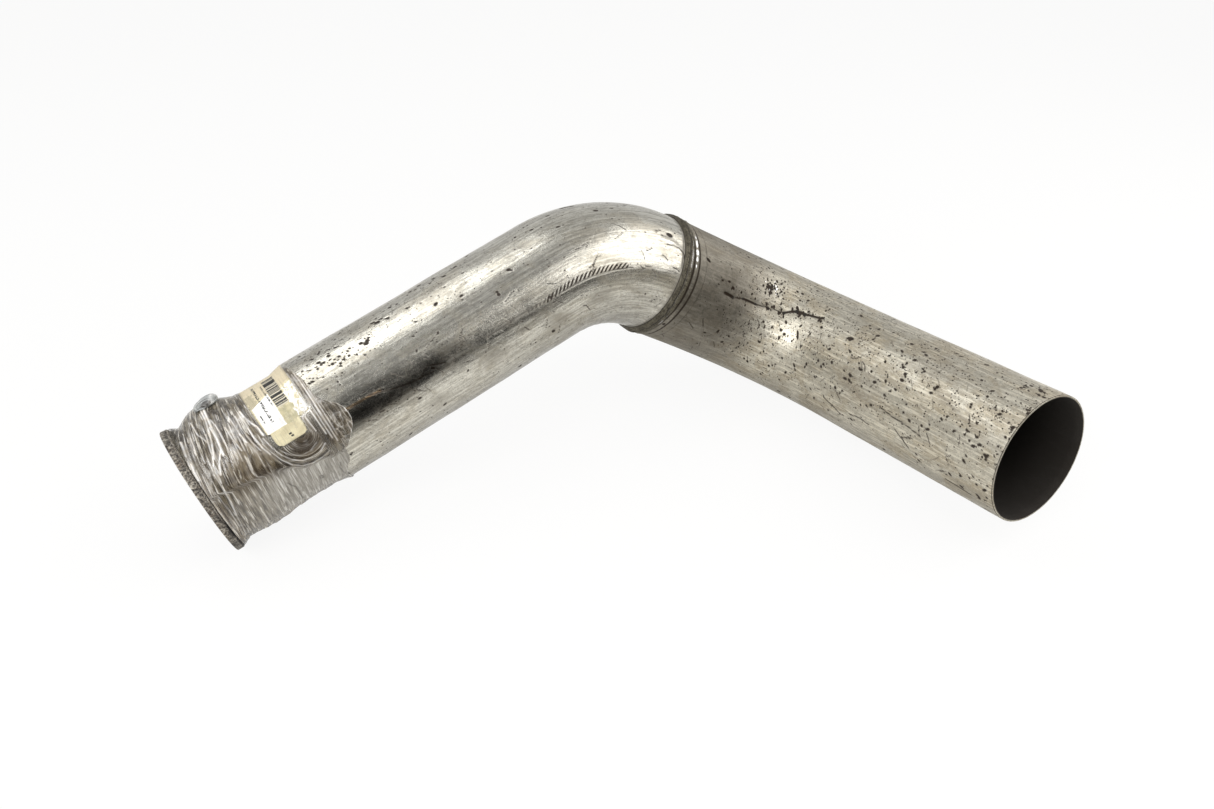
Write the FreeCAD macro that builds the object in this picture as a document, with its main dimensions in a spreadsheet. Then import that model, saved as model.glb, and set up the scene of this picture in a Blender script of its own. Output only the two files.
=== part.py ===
# Turbo downpipe: two bent 4 inch tubes, lap welded, with a V-band flange at the turbo end.
#
# The frame: the origin is the centre of the flange's face. +Z is up as the pipe lies at rest,
# on the flange's rim and on the outside of its second bend. +X runs below the inlet leg, away
# from the flange, so the leg climbs by inlet_rise_angle, and the open end looks along -Y.
# All lengths are millimetres and all angles degrees.
import FreeCAD, Part
import math
import os
import Sketcher

DRIVING = [
    # Inlet tube, from the flange to the lap weld
    ("inlet_radius", 50.8),
    ("wall", 1.6),
    ("swage_depth", 3.2),
    ("neck_end", 88),
    ("swage_end", 100),
    ("inlet_straight", 316),
    ("bend_radius", 114.3),
    ("first_bend_angle", 50),
    ("tail_to_weld", 7),
    ("lap", 20),
    # Outlet tube, which slips over the inlet tube's end
    ("lap_clearance", 0.2),
    ("lead_in", 52),
    ("bend_twist_angle", -88),
    ("second_bend_angle", 83),
    ("outlet_straight", 198),
    # How the pipe lies: the climb of the inlet leg, and the turn of the first bend's plane
    # about that leg. Both follow from its balance on the rim and the second bend.
    ("inlet_rise_angle", 16.76),
    ("first_bend_roll_angle", -101.9),
    # V-band flange
    ("rim_height", 5.1),
    ("rim_width", 5),
    ("bevel_width", 1.2),
    ("bevel_drop", 1.5),
    ("stop_lip", 3),
    ("socket_clearance", 0.1),
    ("bore_chamfer", 0.6),
    # Weld beads
    ("flange_bead_length", 5),
    ("flange_bead_height", 2.8),
    ("bead_crown", 0.6),
    ("lap_bead_front", 6),
    ("lap_bead_back", 3.5),
    ("lap_bead_crown", 2.3),
    # Stretch film wound over the neck, with its gathered tail on top
    ("film_start", 6.4),
    ("film_end", 107),
    ("film_thickness", 0.6),
    ("bead_cover", 3.7),
    ("bead_cover_end", 12.4),
    ("film_hump", 2.9),
    ("film_hump_end", 60),
    ("film_turn", 7.3),
    ("film_fold", 0.45),
    ("flap_end", 121),
    ("flap_middle_angle", 60),
    ("flap_width_angle", 38),
    ("tail_middle", 36.5),
    ("tail_length", 42),
    ("tail_width", 34),
    ("tail_height", 8.4),
    ("tail_turn_angle", -33),
    # Paper label under the film
    ("label_start", 62),
    ("label_thickness", 0.2),
    ("glue_line", 0.1),
    ("film_slack", 0.1),
    ("label_middle_angle", 2),
    ("label_wrap_angle", 110),
]

# Sizes that follow from those above
DERIVED = [
    ("neck_radius", "inlet_radius - swage_depth"),
    ("rim_radius", "neck_radius + rim_height"),
    ("outlet_bore", "inlet_radius + lap_clearance"),
    ("outlet_radius", "outlet_bore + wall"),
    ("label_rise", "glue_line + label_thickness"),
    ("film_rise", "label_rise + film_slack"),
]
QUARTER_TURN = 90

document = FreeCAD.newDocument("turbo_downpipe")
sheet = document.addObject("Spreadsheet::Sheet", "Sizes")
size = {}
for row, (name, number) in enumerate(DRIVING, start=1):
    sheet.set("A%d" % row, name)
    sheet.set("B%d" % row, str(number))
    sheet.setAlias("B%d" % row, name)
    size[name] = float(number)
for row, (name, terms) in enumerate(DERIVED, start=len(DRIVING) + 1):
    sheet.set("A%d" % row, name)
    sheet.set("B%d" % row, "=" + terms)
    sheet.setAlias("B%d" % row, name)
    document.recompute()
    size[name] = float(sheet.get(name))
document.recompute()


def amount(terms):
    """What a sum of named sizes and numbers comes to, such as "neck_radius - wall"."""
    total = 0.0
    sign = 1
    for word in terms.split():
        if word in "+-":
            sign = 1 if word == "+" else -1
        else:
            total += sign * (size[word] if word in size else float(word))
    return total


def formula(terms):
    """The same sum as an expression on the sheet's aliases."""
    return " ".join("Sizes." + word if word in size else word for word in terms.split())


def new_body(label):
    body = document.addObject("PartDesign::Body", label)
    body.Label = label
    return body


def new_sketch(body, plane, name):
    """An empty sketch on one of the body's own origin planes."""
    sketch = body.newObject("Sketcher::SketchObject", name)
    support = [item for item in body.Origin.OriginFeatures if item.Role == plane][0]
    sketch.AttachmentSupport = [(support, "")]
    sketch.MapMode = "FlatFace"
    return sketch


def bind(sketch, constraint, terms):
    """Adds a constraint whose value is a sum of sizes."""
    index = sketch.addConstraint(constraint)
    sketch.setExpression("Constraints[%d]" % index, formula(terms))


def arc_between(start, end, rise):
    """A circular arc that stands off the chord from start to end by rise, on its left."""
    chord = end - start
    left = FreeCAD.Vector(-chord.y, chord.x, 0).normalize()
    return Part.Arc(start, (start + end) / 2 + left * rise, end)


def draw_outline(sketch, corners):
    """A closed outline. Each corner is (x, y) as sums of sizes, or (x, y, rise) where the side
    that leaves it is an arc."""
    points = [FreeCAD.Vector(amount(corner[0]), amount(corner[1]), 0) for corner in corners]
    count = len(corners)
    for index, corner in enumerate(corners):
        start = points[index]
        end = points[(index + 1) % count]
        if len(corner) == 3:
            sketch.addGeometry(arc_between(start, end, amount(corner[2])))
        else:
            sketch.addGeometry(Part.LineSegment(start, end))
    # an arc that turns clockwise from its first point has its ends the other way round
    first_end = []
    for index in range(count):
        edge = sketch.Geometry[index]
        near = (edge.StartPoint - points[index]).Length < (edge.EndPoint - points[index]).Length
        first_end.append(1 if near else 2)
    for index in range(count):
        following = (index + 1) % count
        last_end = 3 - first_end[index]
        sketch.addConstraint(
            Sketcher.Constraint("Coincident", index, last_end, following, first_end[following]))
    for index, corner in enumerate(corners):
        spot = points[index]
        bind(sketch, Sketcher.Constraint("DistanceX", -1, 1, index, first_end[index], spot.x), corner[0])
        bind(sketch, Sketcher.Constraint("DistanceY", -1, 1, index, first_end[index], spot.y), corner[1])
        if len(corner) == 3:
            end = points[(index + 1) % count]
            rise = amount(corner[2])
            radius = ((end - spot).Length ** 2 / 4 + rise ** 2) / (2 * abs(rise))
            sketch.addConstraint(Sketcher.Constraint("Radius", index, radius))


def turn_profile(body, corners, name, angle="360"):
    """Turns an outline about the body's X axis, evenly to both sides of the XY plane."""
    sketch = new_sketch(body, "XY_Plane", name + "_outline")
    draw_outline(sketch, corners)
    feature = body.newObject("PartDesign::Revolution", name)
    feature.Profile = sketch
    feature.ReferenceAxis = (sketch, ["H_Axis"])
    feature.Midplane = True
    feature.setExpression("Angle", formula(angle))


def draw_ring(sketch, outer, inner):
    """Two circles about the sketch's origin."""
    centre = FreeCAD.Vector(0, 0, 0)
    for index, radius in enumerate((outer, inner)):
        circle = Part.Circle(centre, FreeCAD.Vector(0, 0, 1), amount(radius))
        sketch.addGeometry(circle)
        sketch.addConstraint(Sketcher.Constraint("Coincident", index, 3, -1, 1))
        bind(sketch, Sketcher.Constraint("Radius", index, amount(radius)), radius)


def draw_centre_line(sketch, start, first_end, bend, last_length):
    """A straight run along X, an arc of the bend radius to its left, and a straight run."""
    radius = size["bend_radius"]
    angle = math.radians(amount(bend))
    arc_start = FreeCAD.Vector(amount(first_end), 0, 0)
    arc_end = arc_start + FreeCAD.Vector(math.sin(angle), 1 - math.cos(angle), 0) * radius
    arc_middle = arc_start + FreeCAD.Vector(math.sin(angle / 2), 1 - math.cos(angle / 2), 0) * radius
    end = arc_end + FreeCAD.Vector(math.cos(angle), math.sin(angle), 0) * amount(last_length)
    sketch.addGeometry(Part.LineSegment(FreeCAD.Vector(amount(start), 0, 0), arc_start))
    sketch.addGeometry(Part.Arc(arc_start, arc_middle, arc_end))
    sketch.addGeometry(Part.LineSegment(arc_end, end))
    sketch.addConstraint(Sketcher.Constraint("PointOnObject", 0, 1, -1))
    sketch.addConstraint(Sketcher.Constraint("Horizontal", 0))
    sketch.addConstraint(Sketcher.Constraint("Tangent", 0, 2, 1, 1))
    sketch.addConstraint(Sketcher.Constraint("Tangent", 1, 2, 2, 1))
    bind(sketch, Sketcher.Constraint("DistanceX", -1, 1, 0, 1, amount(start)), start)
    bind(sketch, Sketcher.Constraint("DistanceX", -1, 1, 0, 2, amount(first_end)), first_end)
    bind(sketch, Sketcher.Constraint("Radius", 1, radius), "bend_radius")
    bind(sketch, Sketcher.Constraint("Angle", 0, 1, 2, 1, angle), bend)
    bind(sketch, Sketcher.Constraint("Distance", 2, amount(last_length)), last_length)


def bend_tube(body, start, first_end, bend, last_length, outer, inner):
    """A round tube swept along a centre line that starts at x = start."""
    spine = new_sketch(body, "XY_Plane", body.Label + "_centre_line")
    draw_centre_line(spine, start, first_end, bend, last_length)
    section = new_sketch(body, "YZ_Plane", body.Label + "_section")
    section.setExpression("AttachmentOffset.Base.z", formula(start))
    draw_ring(section, outer, inner)
    document.recompute()
    pipe = body.newObject("PartDesign::AdditivePipe", body.Label + "_bent_run")
    pipe.Profile = section
    pipe.Spine = (spine, ["Edge1", "Edge2", "Edge3"])


def about_x(angle):
    """A turn about the local X axis."""
    return FreeCAD.Placement(FreeCAD.Vector(), FreeCAD.Rotation(FreeCAD.Vector(1, 0, 0), angle))


# Frames along the pipe. The inlet frame has X along the inlet leg and Z as near up as it goes.
inlet_frame = FreeCAD.Placement(
    FreeCAD.Vector(), FreeCAD.Rotation(FreeCAD.Vector(0, 1, 0), -size["inlet_rise_angle"]))
first_bend_frame = inlet_frame * about_x(size["first_bend_roll_angle"])
first_angle = math.radians(size["first_bend_angle"])
weld_point = FreeCAD.Vector(
    size["inlet_straight"] + size["bend_radius"] * math.sin(first_angle)
    + size["tail_to_weld"] * math.cos(first_angle),
    size["bend_radius"] * (1 - math.cos(first_angle)) + size["tail_to_weld"] * math.sin(first_angle),
    0)
past_first_bend = FreeCAD.Placement(
    weld_point, FreeCAD.Rotation(FreeCAD.Vector(0, 0, 1), size["first_bend_angle"]))
outlet_frame = first_bend_frame * past_first_bend * about_x(size["bend_twist_angle"])


def side_frame(turn):
    """The inlet frame rolled so that its Y axis points at a turn from the top, towards -Y."""
    return inlet_frame * about_x(turn + QUARTER_TURN)


def make_inlet_tube():
    """The 4 inch tube: swaged down to the flange's socket, then bent once."""
    body = new_body("inlet_tube")
    turn_profile(body, [
        ("stop_lip", "neck_radius - wall"),
        ("neck_end", "neck_radius - wall"),
        ("swage_end", "inlet_radius - wall"),
        ("swage_end", "inlet_radius"),
        ("neck_end", "neck_radius"),
        ("stop_lip", "neck_radius"),
    ], "swaged_neck")
    bend_tube(body, "swage_end", "inlet_straight", "first_bend_angle", "tail_to_weld + lap",
              "inlet_radius", "inlet_radius - wall")
    body.Placement = first_bend_frame


def make_outlet_tube():
    """The tube that slips over the inlet tube's end, bent in a plane turned by the twist."""
    body = new_body("outlet_tube")
    bend_tube(body, "0", "lead_in", "second_bend_angle", "outlet_straight",
              "outlet_radius", "outlet_bore")
    body.Placement = outlet_frame


def make_flange():
    """The V-band flange: a flat face, a rim with a bevelled back, and a socket for the neck."""
    body = new_body("turbo_flange")
    turn_profile(body, [
        ("0", "neck_radius - wall + bore_chamfer"),
        ("bore_chamfer", "neck_radius - wall"),
        ("stop_lip", "neck_radius - wall"),
        ("stop_lip", "neck_radius + socket_clearance"),
        ("rim_width + bevel_width", "neck_radius + socket_clearance"),
        ("rim_width + bevel_width", "rim_radius - bevel_drop"),
        ("rim_width", "rim_radius"),
        ("0", "rim_radius"),
    ], "flange_ring")
    body.Placement = inlet_frame


def make_flange_bead():
    """The fillet weld between the flange's back and the neck."""
    body = new_body("flange_weld_bead")
    turn_profile(body, [
        ("rim_width + bevel_width", "neck_radius"),
        ("rim_width + bevel_width + flange_bead_length", "neck_radius", "0 - bead_crown"),
        ("rim_width + bevel_width", "neck_radius + flange_bead_height"),
    ], "flange_bead_ring")
    body.Placement = inlet_frame


def make_lap_bead():
    """The weld round the lap: it fills the step in front of the outlet tube and covers its lip."""
    body = new_body("lap_weld_bead")
    turn_profile(body, [
        ("0 - lap_bead_front", "inlet_radius"),
        ("0", "inlet_radius"),
        ("0", "outlet_radius"),
        ("lap_bead_back", "outlet_radius", "0 - lap_bead_crown"),
    ], "lap_bead_ring")
    body.Placement = outlet_frame


def make_label():
    """The paper label stuck round part of the neck and up its swage."""
    body = new_body("paper_label")
    turn_profile(body, [
        ("label_start", "neck_radius + glue_line"),
        ("neck_end", "neck_radius + glue_line"),
        ("swage_end", "inlet_radius + glue_line"),
        ("swage_end", "inlet_radius + label_rise"),
        ("neck_end", "neck_radius + label_rise"),
        ("label_start", "neck_radius + label_rise"),
    ], "label_strip", "label_wrap_angle")
    body.Placement = side_frame(size["label_middle_angle"])


def under_film(station):
    """Radius that the film lies on: the flange's weld, then the neck, the label and the swage."""
    share = (station - size["neck_end"]) / (size["swage_end"] - size["neck_end"])
    climb = size["inlet_radius"] - size["neck_radius"]
    cover = (size["bead_cover_end"] - station) / (size["bead_cover_end"] - size["film_start"])
    return (size["neck_radius"] + climb * min(max(share, 0), 1) + size["film_rise"]
            + size["bead_cover"] * max(cover, 0))


def over_film(station):
    """Radius of the wound film between two folds: it heaps up behind the flange's weld."""
    share = (station - size["bead_cover_end"]) / (size["film_hump_end"] - size["bead_cover_end"])
    heap = size["film_hump"] * math.sin(math.pi * min(max(share, 0), 1)) ** 2
    return under_film(station) + size["film_thickness"] + heap


def turned_solid(edges, angle=360, middle=0):
    """A solid turned about X from an outline's edges, evenly about a turn from the top."""
    face = Part.Face(Part.Wire([edge.toShape() for edge in edges]))
    solid = face.revolve(FreeCAD.Vector(), FreeCAD.Vector(1, 0, 0), angle)
    solid.Placement = about_x(middle + QUARTER_TURN - angle / 2)
    return solid


def straight_sides(points):
    return [Part.LineSegment(start, end) for start, end in zip(points, points[1:])]


def film_wrap():
    """The turns of film from the flange's weld to past the swage, each with a rounded back."""
    length = size["film_end"] - size["film_start"]
    turns = round(length / size["film_turn"])
    stations = [size["film_start"] + length * turn / turns for turn in range(turns, -1, -1)]
    outer = [FreeCAD.Vector(station, over_film(station), 0) for station in stations]
    seats = [size[name] for name in
             ("film_start", "bead_cover_end", "neck_end", "swage_end", "film_end")]
    inner = [FreeCAD.Vector(station, under_film(station), 0) for station in seats]
    backs = [arc_between(start, end, -size["film_fold"]) for start, end in zip(outer, outer[1:])]
    wrap = turned_solid(straight_sides(inner + outer[:1]) + backs
                        + straight_sides([outer[-1], inner[0]]))
    axis_ends = [FreeCAD.Vector(seats[-1], 0, 0), FreeCAD.Vector(seats[0], 0, 0)]
    inside = turned_solid(straight_sides(inner + axis_ends + inner[:1]))
    return wrap, inside


def film_flap():
    """The loose end of the film, which lies on the inlet tube past the rest."""
    low = under_film(size["film_end"])
    high = low + size["film_thickness"]
    near = size["film_end"] - size["film_thickness"]
    corners = [(near, low), (size["flap_end"], low), (size["flap_end"], high), (near, high), (near, low)]
    edges = straight_sides([FreeCAD.Vector(x, y, 0) for x, y in corners])
    return turned_solid(edges, size["flap_width_angle"], size["flap_middle_angle"])


def film_tail():
    """The gathered tail of the film: a long lump on top of the heap."""
    stretch = FreeCAD.Matrix()
    stretch.scale(size["tail_length"] / 2, size["tail_height"], size["tail_width"] / 2)
    lump = Part.makeSphere(1).transformGeometry(stretch)
    seat = over_film(size["tail_middle"])
    lump.translate(FreeCAD.Vector(size["tail_middle"], seat, 0))
    return lump.transformed(about_x(size["tail_turn_angle"] + QUARTER_TURN).toMatrix())


def make_film():
    """Clear stretch film wound over the neck, as one solid."""
    wrap, inside = film_wrap()
    film = document.addObject("Part::Feature", "stretch_film")
    film.Label = "stretch_film"
    film.Shape = wrap.fuse([film_flap(), film_tail()]).cut(inside).removeSplitter()
    film.Placement = inlet_frame
    return film


def check_and_write():
    """Stops at a failed object, then writes each sub-part to its own STEP file."""
    for item in document.Objects:
        if "Invalid" in item.State or "Error" in item.State:
            raise RuntimeError("%s failed: %s" % (item.Label, item.State))
    os.makedirs("parts", exist_ok=True)
    for item in document.Objects:
        if item.TypeId not in ("PartDesign::Body", "Part::Feature"):
            continue
        if item.Shape.isNull() or not item.Shape.isValid():
            raise RuntimeError(item.Label + " has no valid shape")
        item.Shape.exportStep(os.path.join("parts", item.Label + ".step"))
        print("%-18s %d solid, %.1f cm3" % (item.Label, len(item.Shape.Solids), item.Shape.Volume / 1000))


make_flange()
make_flange_bead()
make_inlet_tube()
make_outlet_tube()
make_lap_bead()
make_label()
make_film()
document.recompute()
check_and_write()
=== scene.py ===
import math
import bpy
import numpy as np
from mathutils import Matrix, Vector


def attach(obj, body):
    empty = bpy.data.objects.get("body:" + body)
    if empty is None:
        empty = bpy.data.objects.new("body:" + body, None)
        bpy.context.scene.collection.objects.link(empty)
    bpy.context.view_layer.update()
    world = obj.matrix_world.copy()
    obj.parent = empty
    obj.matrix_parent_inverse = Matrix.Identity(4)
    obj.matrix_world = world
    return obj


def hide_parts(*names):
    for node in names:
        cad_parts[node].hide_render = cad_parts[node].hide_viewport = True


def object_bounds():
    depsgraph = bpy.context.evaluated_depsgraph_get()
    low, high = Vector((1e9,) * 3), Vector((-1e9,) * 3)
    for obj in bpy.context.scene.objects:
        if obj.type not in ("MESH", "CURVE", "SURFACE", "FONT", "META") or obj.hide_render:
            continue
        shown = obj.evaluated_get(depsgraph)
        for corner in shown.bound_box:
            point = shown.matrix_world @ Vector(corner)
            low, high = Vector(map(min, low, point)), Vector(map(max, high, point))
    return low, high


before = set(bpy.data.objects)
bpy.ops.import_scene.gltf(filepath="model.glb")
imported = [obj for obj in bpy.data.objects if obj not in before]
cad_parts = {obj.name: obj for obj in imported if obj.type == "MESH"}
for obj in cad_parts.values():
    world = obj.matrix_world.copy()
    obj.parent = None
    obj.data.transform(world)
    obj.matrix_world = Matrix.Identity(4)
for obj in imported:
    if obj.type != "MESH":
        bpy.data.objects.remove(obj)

# The looks of the turbo downpipe. Lengths in the values below are millimetres and angles are
# degrees; meshes are in metres. A place on the pipe is (station, turn): the distance from the
# flange's face along the centre line, and the angle about it from the top, towards the camera.
MM = 0.001
cad_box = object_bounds()

# The pipe's centre line, as in the part: straight lengths and bends towards a turn
INLET_RISE = 16.76
BEND_RADIUS = 114.3
FIRST_STRAIGHT = 316
FIRST_BEND = (50, 168.1)
SECOND_STRAIGHT = 59
SECOND_BEND = (83, 80.1)
LAST_STRAIGHT = 198
TO_WELD = 7
LAP = 20
LAP_GAP = 0.2

# Radii and stations of the pieces
NECK_RADIUS = 47.6
NECK_END = 88
SWAGE_END = 100
INLET_RADIUS = 50.8
WALL = 1.6
RIM_RADIUS = 52.7
RIM_WIDTH = 5
BEVEL_WIDTH = 1.2
BEVEL_DROP = 1.5
STOP_LIP = 3
BORE_CHAMFER = 0.6
SOCKET_RADIUS = NECK_RADIUS + 0.1
OUTLET_RADIUS = INLET_RADIUS + LAP_GAP + WALL
FLANGE_BACK = RIM_WIDTH + BEVEL_WIDTH
FLANGE_BEAD_LENGTH = 5
FLANGE_BEAD_HEIGHT = 2.8
FLANGE_BEAD_RISE = 0.55
LAP_BEAD_FRONT = 6
LAP_BEAD_BACK = 3.5
LAP_BEAD_RISE = 1.9
GLUE_LINE = 0.1
LABEL_THICKNESS = 0.2
FILM_SLACK = 0.1
BEAD_COVER = 3.7
BEAD_COVER_END = 12.4
FILM_START = 6.5
FILM_END = 106.8

FIRST_ARC = BEND_RADIUS * math.radians(FIRST_BEND[0])
SECOND_ARC = BEND_RADIUS * math.radians(SECOND_BEND[0])
WELD_STATION = FIRST_STRAIGHT + FIRST_ARC + TO_WELD
OUTLET_BEND_START = FIRST_STRAIGHT + FIRST_ARC + SECOND_STRAIGHT
OPEN_END = OUTLET_BEND_START + SECOND_ARC + LAST_STRAIGHT


def ramp_up(value, start, reach):
    """0 up to a start, then rising to 1 over a reach."""
    return np.clip((value - start) / reach, 0, 1)


def ramp_down(value, end, reach):
    """1 until a reach before an end, then falling to 0 at it."""
    return np.clip((end - value) / reach, 0, 1)


def hill(value, middle, reach, power=2):
    """1 at a middle, falling off on both sides."""
    return np.exp(-((value - middle) / reach) ** power)


def even(start, end, step):
    """Evenly spaced values from start to end, about a step apart, both ends included."""
    return np.linspace(start, end, max(2, int(round(abs(end - start) / step)) + 1))


def turned(vector, axis, angles):
    """A vector turned about an axis by each of some angles."""
    cosine = np.cos(angles)[:, None]
    sine = np.sin(angles)[:, None]
    along = axis * (vector @ axis)
    return vector * cosine + np.cross(axis, vector) * sine + along * (1 - cosine)


def pipe_frames(stations):
    """Centre, travel and up directions at each station, carried along the bends."""
    stations = np.asarray(stations, float)
    rise = math.radians(INLET_RISE)
    point = np.zeros(3)
    travel = np.array([math.cos(rise), 0, math.sin(rise)])
    up = np.array([-math.sin(rise), 0, math.cos(rise)])
    frames = np.zeros((3, len(stations), 3))
    begin = 0.0
    for length, bend in ((FIRST_STRAIGHT, None), (FIRST_ARC, FIRST_BEND), (SECOND_STRAIGHT, None),
                         (SECOND_ARC, SECOND_BEND), (LAST_STRAIGHT, None)):
        past = stations >= begin
        steps = np.append(stations[past] - begin, length)
        if bend is None:
            places = point + travel * steps[:, None]
            headings = np.broadcast_to(travel, places.shape)
            tops = np.broadcast_to(up, places.shape)
        else:
            turn = math.radians(bend[1])
            inward = up * math.cos(turn) + np.cross(travel, up) * math.sin(turn)
            axis = np.cross(travel, inward)
            angles = steps / BEND_RADIUS
            places = point + BEND_RADIUS * inward + turned(-BEND_RADIUS * inward, axis, angles)
            headings = turned(travel, axis, angles)
            tops = turned(up, axis, angles)
        frames[:, past] = [places[:-1], headings[:-1], tops[:-1]]
        point, travel, up = places[-1], headings[-1], tops[-1]
        begin += length
    return frames


def hashed(cells, seed):
    """A number from 0 to 1 for each cell of a whole-number lattice."""
    mixed = cells[..., 0] * 374761393 + cells[..., 1] * 668265263 + cells[..., 2] * 2147483647
    mixed = (mixed + seed * 974634777) & 0xFFFFFFFF
    mixed = ((mixed ^ (mixed >> 13)) * 1274126177) & 0xFFFFFFFF
    return ((mixed ^ (mixed >> 16)) & 0xFFFF) / 65535.0


def smooth_noise(place, seed):
    """Smooth lattice noise from 0 to 1. The place's three coordinates are in lattice cells."""
    spot = np.stack(np.broadcast_arrays(*place), -1)
    cell = np.floor(spot).astype(np.int64)
    part = spot - cell
    part = part * part * (3 - 2 * part)
    total = np.zeros(part.shape[:-1])
    for corner in range(8):
        shift = np.array([corner & 1, corner >> 1 & 1, corner >> 2 & 1])
        weight = np.prod(np.where(shift == 1, part, 1 - part), -1)
        total += weight * hashed(cell + shift, seed)
    return total


def ridged(noise):
    """Noise folded over: 1 along lines, falling to 0 between them."""
    return 1 - np.abs(2 * noise - 1)


def circle(turns, radius):
    """Two coordinates round a circle, so that noise meets itself after a whole turn."""
    angle = np.radians(turns)
    return np.cos(angle) * radius, np.sin(angle) * radius


def grid_faces(rows, columns, wrap_rows=True, wrap_columns=True):
    """Quads over a table of points, facing outwards on the pipe."""
    row = np.arange(rows if wrap_rows else rows - 1)
    column = np.arange(columns if wrap_columns else columns - 1)
    i, j = np.meshgrid(row, column, indexing="ij")
    down = (i + 1) % rows
    right = (j + 1) % columns
    corners = [i * columns + j, i * columns + right, down * columns + right, down * columns + j]
    return np.stack([corner.ravel() for corner in corners], -1)


class Skin:
    """A patch of the pipe's surface as a table of stations and turns, with painted layers.
    along holds its stations as a column, about its turns from -180 to 180 as a row."""

    def __init__(self, stations, turns, radii):
        self.stations = np.asarray(stations, float)
        self.turns = np.asarray(turns, float)
        self.along = self.stations[:, None]
        self.about = ((self.turns + 180) % 360 - 180)[None, :]
        radii = np.asarray(radii, float)
        table = radii if radii.ndim == 2 else radii[:, None]
        self.radii = np.broadcast_to(table, (len(stations), len(turns))).copy()
        self.reach = float(np.median(self.radii))
        self.layers = {}

    def layer(self, name):
        return self.layers.setdefault(name, np.zeros(self.radii.shape))

    def paint(self, name, strength):
        layer = self.layer(name)
        layer[:] = np.maximum(layer, strength)

    def around(self, turn):
        """Distance round the surface from a turn to each column."""
        gap = (self.turns - turn + 180) % 360 - 180
        return np.radians(gap) * self.reach

    def window(self, station, turn, reach):
        rows = np.nonzero(np.abs(self.stations - station) < reach)[0]
        columns = np.nonzero(np.abs(self.around(turn)) < reach)[0]
        return rows, columns

    def mark(self, name, rows, columns, strength, depth):
        layer = self.layer(name)
        here = np.ix_(rows, columns)
        layer[here] = np.maximum(layer[here], strength)
        self.radii[here] -= depth * strength

    def spot(self, name, station, turn, size, depth=0.0, strength=1.0, stretch=1.0, lean=0.0):
        """A round or stretched blot. Its long side leans from the pipe's run by lean degrees."""
        rows, columns = self.window(station, turn, 2.2 * size * stretch + 1)
        along = (self.stations[rows] - station)[:, None]
        across = self.around(turn)[columns][None, :]
        lean = math.radians(lean)
        major = (along * math.cos(lean) + across * math.sin(lean)) / (size * stretch)
        minor = (across * math.cos(lean) - along * math.sin(lean)) / size
        self.mark(name, rows, columns, np.exp(-(major ** 2 + minor ** 2) ** 1.4) * strength, depth)

    def stroke(self, name, places, width, depth=0.0, strength=1.0):
        """A line through a few (station, turn) places."""
        for (s_a, t_a), (s_b, t_b) in zip(places, places[1:]):
            run = s_b - s_a
            lift = math.radians(t_b - t_a) * self.reach
            reach = math.hypot(run, lift) / 2 + 3 * width
            rows, columns = self.window((s_a + s_b) / 2, (t_a + t_b) / 2, reach)
            along = (self.stations[rows] - s_a)[:, None]
            across = self.around(t_a)[columns][None, :]
            share = np.clip((along * run + across * lift) / (run ** 2 + lift ** 2), 0, 1)
            gap = np.hypot(along - share * run, across - share * lift)
            self.mark(name, rows, columns, hill(gap, 0, width) * strength, depth)

    def ring(self, name, station, width, strength):
        """A line right round the pipe."""
        self.stroke(name, [(station, turn) for turn in range(-180, 181, 30)], width, 0.0, strength)

    def straight(self):
        """Where each point would lie if the pipe were straight, as three tables."""
        stations = np.broadcast_to(self.along, self.radii.shape)
        return np.stack([stations, *circle(self.turns, self.radii)])

    def patch(self):
        """Points, faces, straight places and layers of the skin as a closed form."""
        centres, travels, ups = pipe_frames(self.stations)
        angle = np.radians(self.turns)[None, :, None]
        outward = ups[:, None] * np.cos(angle) + np.cross(travels, ups)[:, None] * np.sin(angle)
        points = (centres[:, None] + outward * self.radii[:, :, None]) * MM
        faces = grid_faces(*self.radii.shape)
        return points, faces, np.moveaxis(self.straight(), 0, -1), self.layers


def add_object(name, data):
    thing = bpy.data.objects.new(name, data)
    bpy.context.scene.collection.objects.link(thing)
    return thing


def build_object(name, patches, material):
    """One smooth mesh object from (points, faces, straight, layers) patches. Textures follow the
    straight places."""
    points = np.concatenate([patch[0].reshape(-1, 3) for patch in patches])
    straight = np.concatenate([patch[2].reshape(-1, 3) for patch in patches])
    sizes = [patch[0][..., 0].size for patch in patches]
    starts = np.cumsum([0] + sizes[:-1])
    faces = np.concatenate([patch[1] + start for patch, start in zip(patches, starts)])
    mesh = bpy.data.meshes.new(name)
    mesh.vertices.add(len(points))
    mesh.vertices.foreach_set("co", points.ravel())
    mesh.loops.add(faces.size)
    mesh.loops.foreach_set("vertex_index", faces.ravel())
    mesh.polygons.add(len(faces))
    mesh.polygons.foreach_set("loop_start", np.arange(0, faces.size, 4))
    mesh.update(calc_edges=True)
    mesh.validate()
    mesh.polygons.foreach_set("use_smooth", np.ones(len(mesh.polygons), bool))
    mesh.attributes.new("straight", "FLOAT_VECTOR", "POINT").data.foreach_set("vector", straight.ravel())
    for key in sorted({key for patch in patches for key in patch[3]}):
        values = [np.ravel(patch[3].get(key, np.zeros(size))) for patch, size in zip(patches, sizes)]
        mesh.attributes.new(key, "FLOAT", "POINT").data.foreach_set("value", np.concatenate(values))
    mesh.materials.append(material)
    return add_object(name, mesh)


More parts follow.
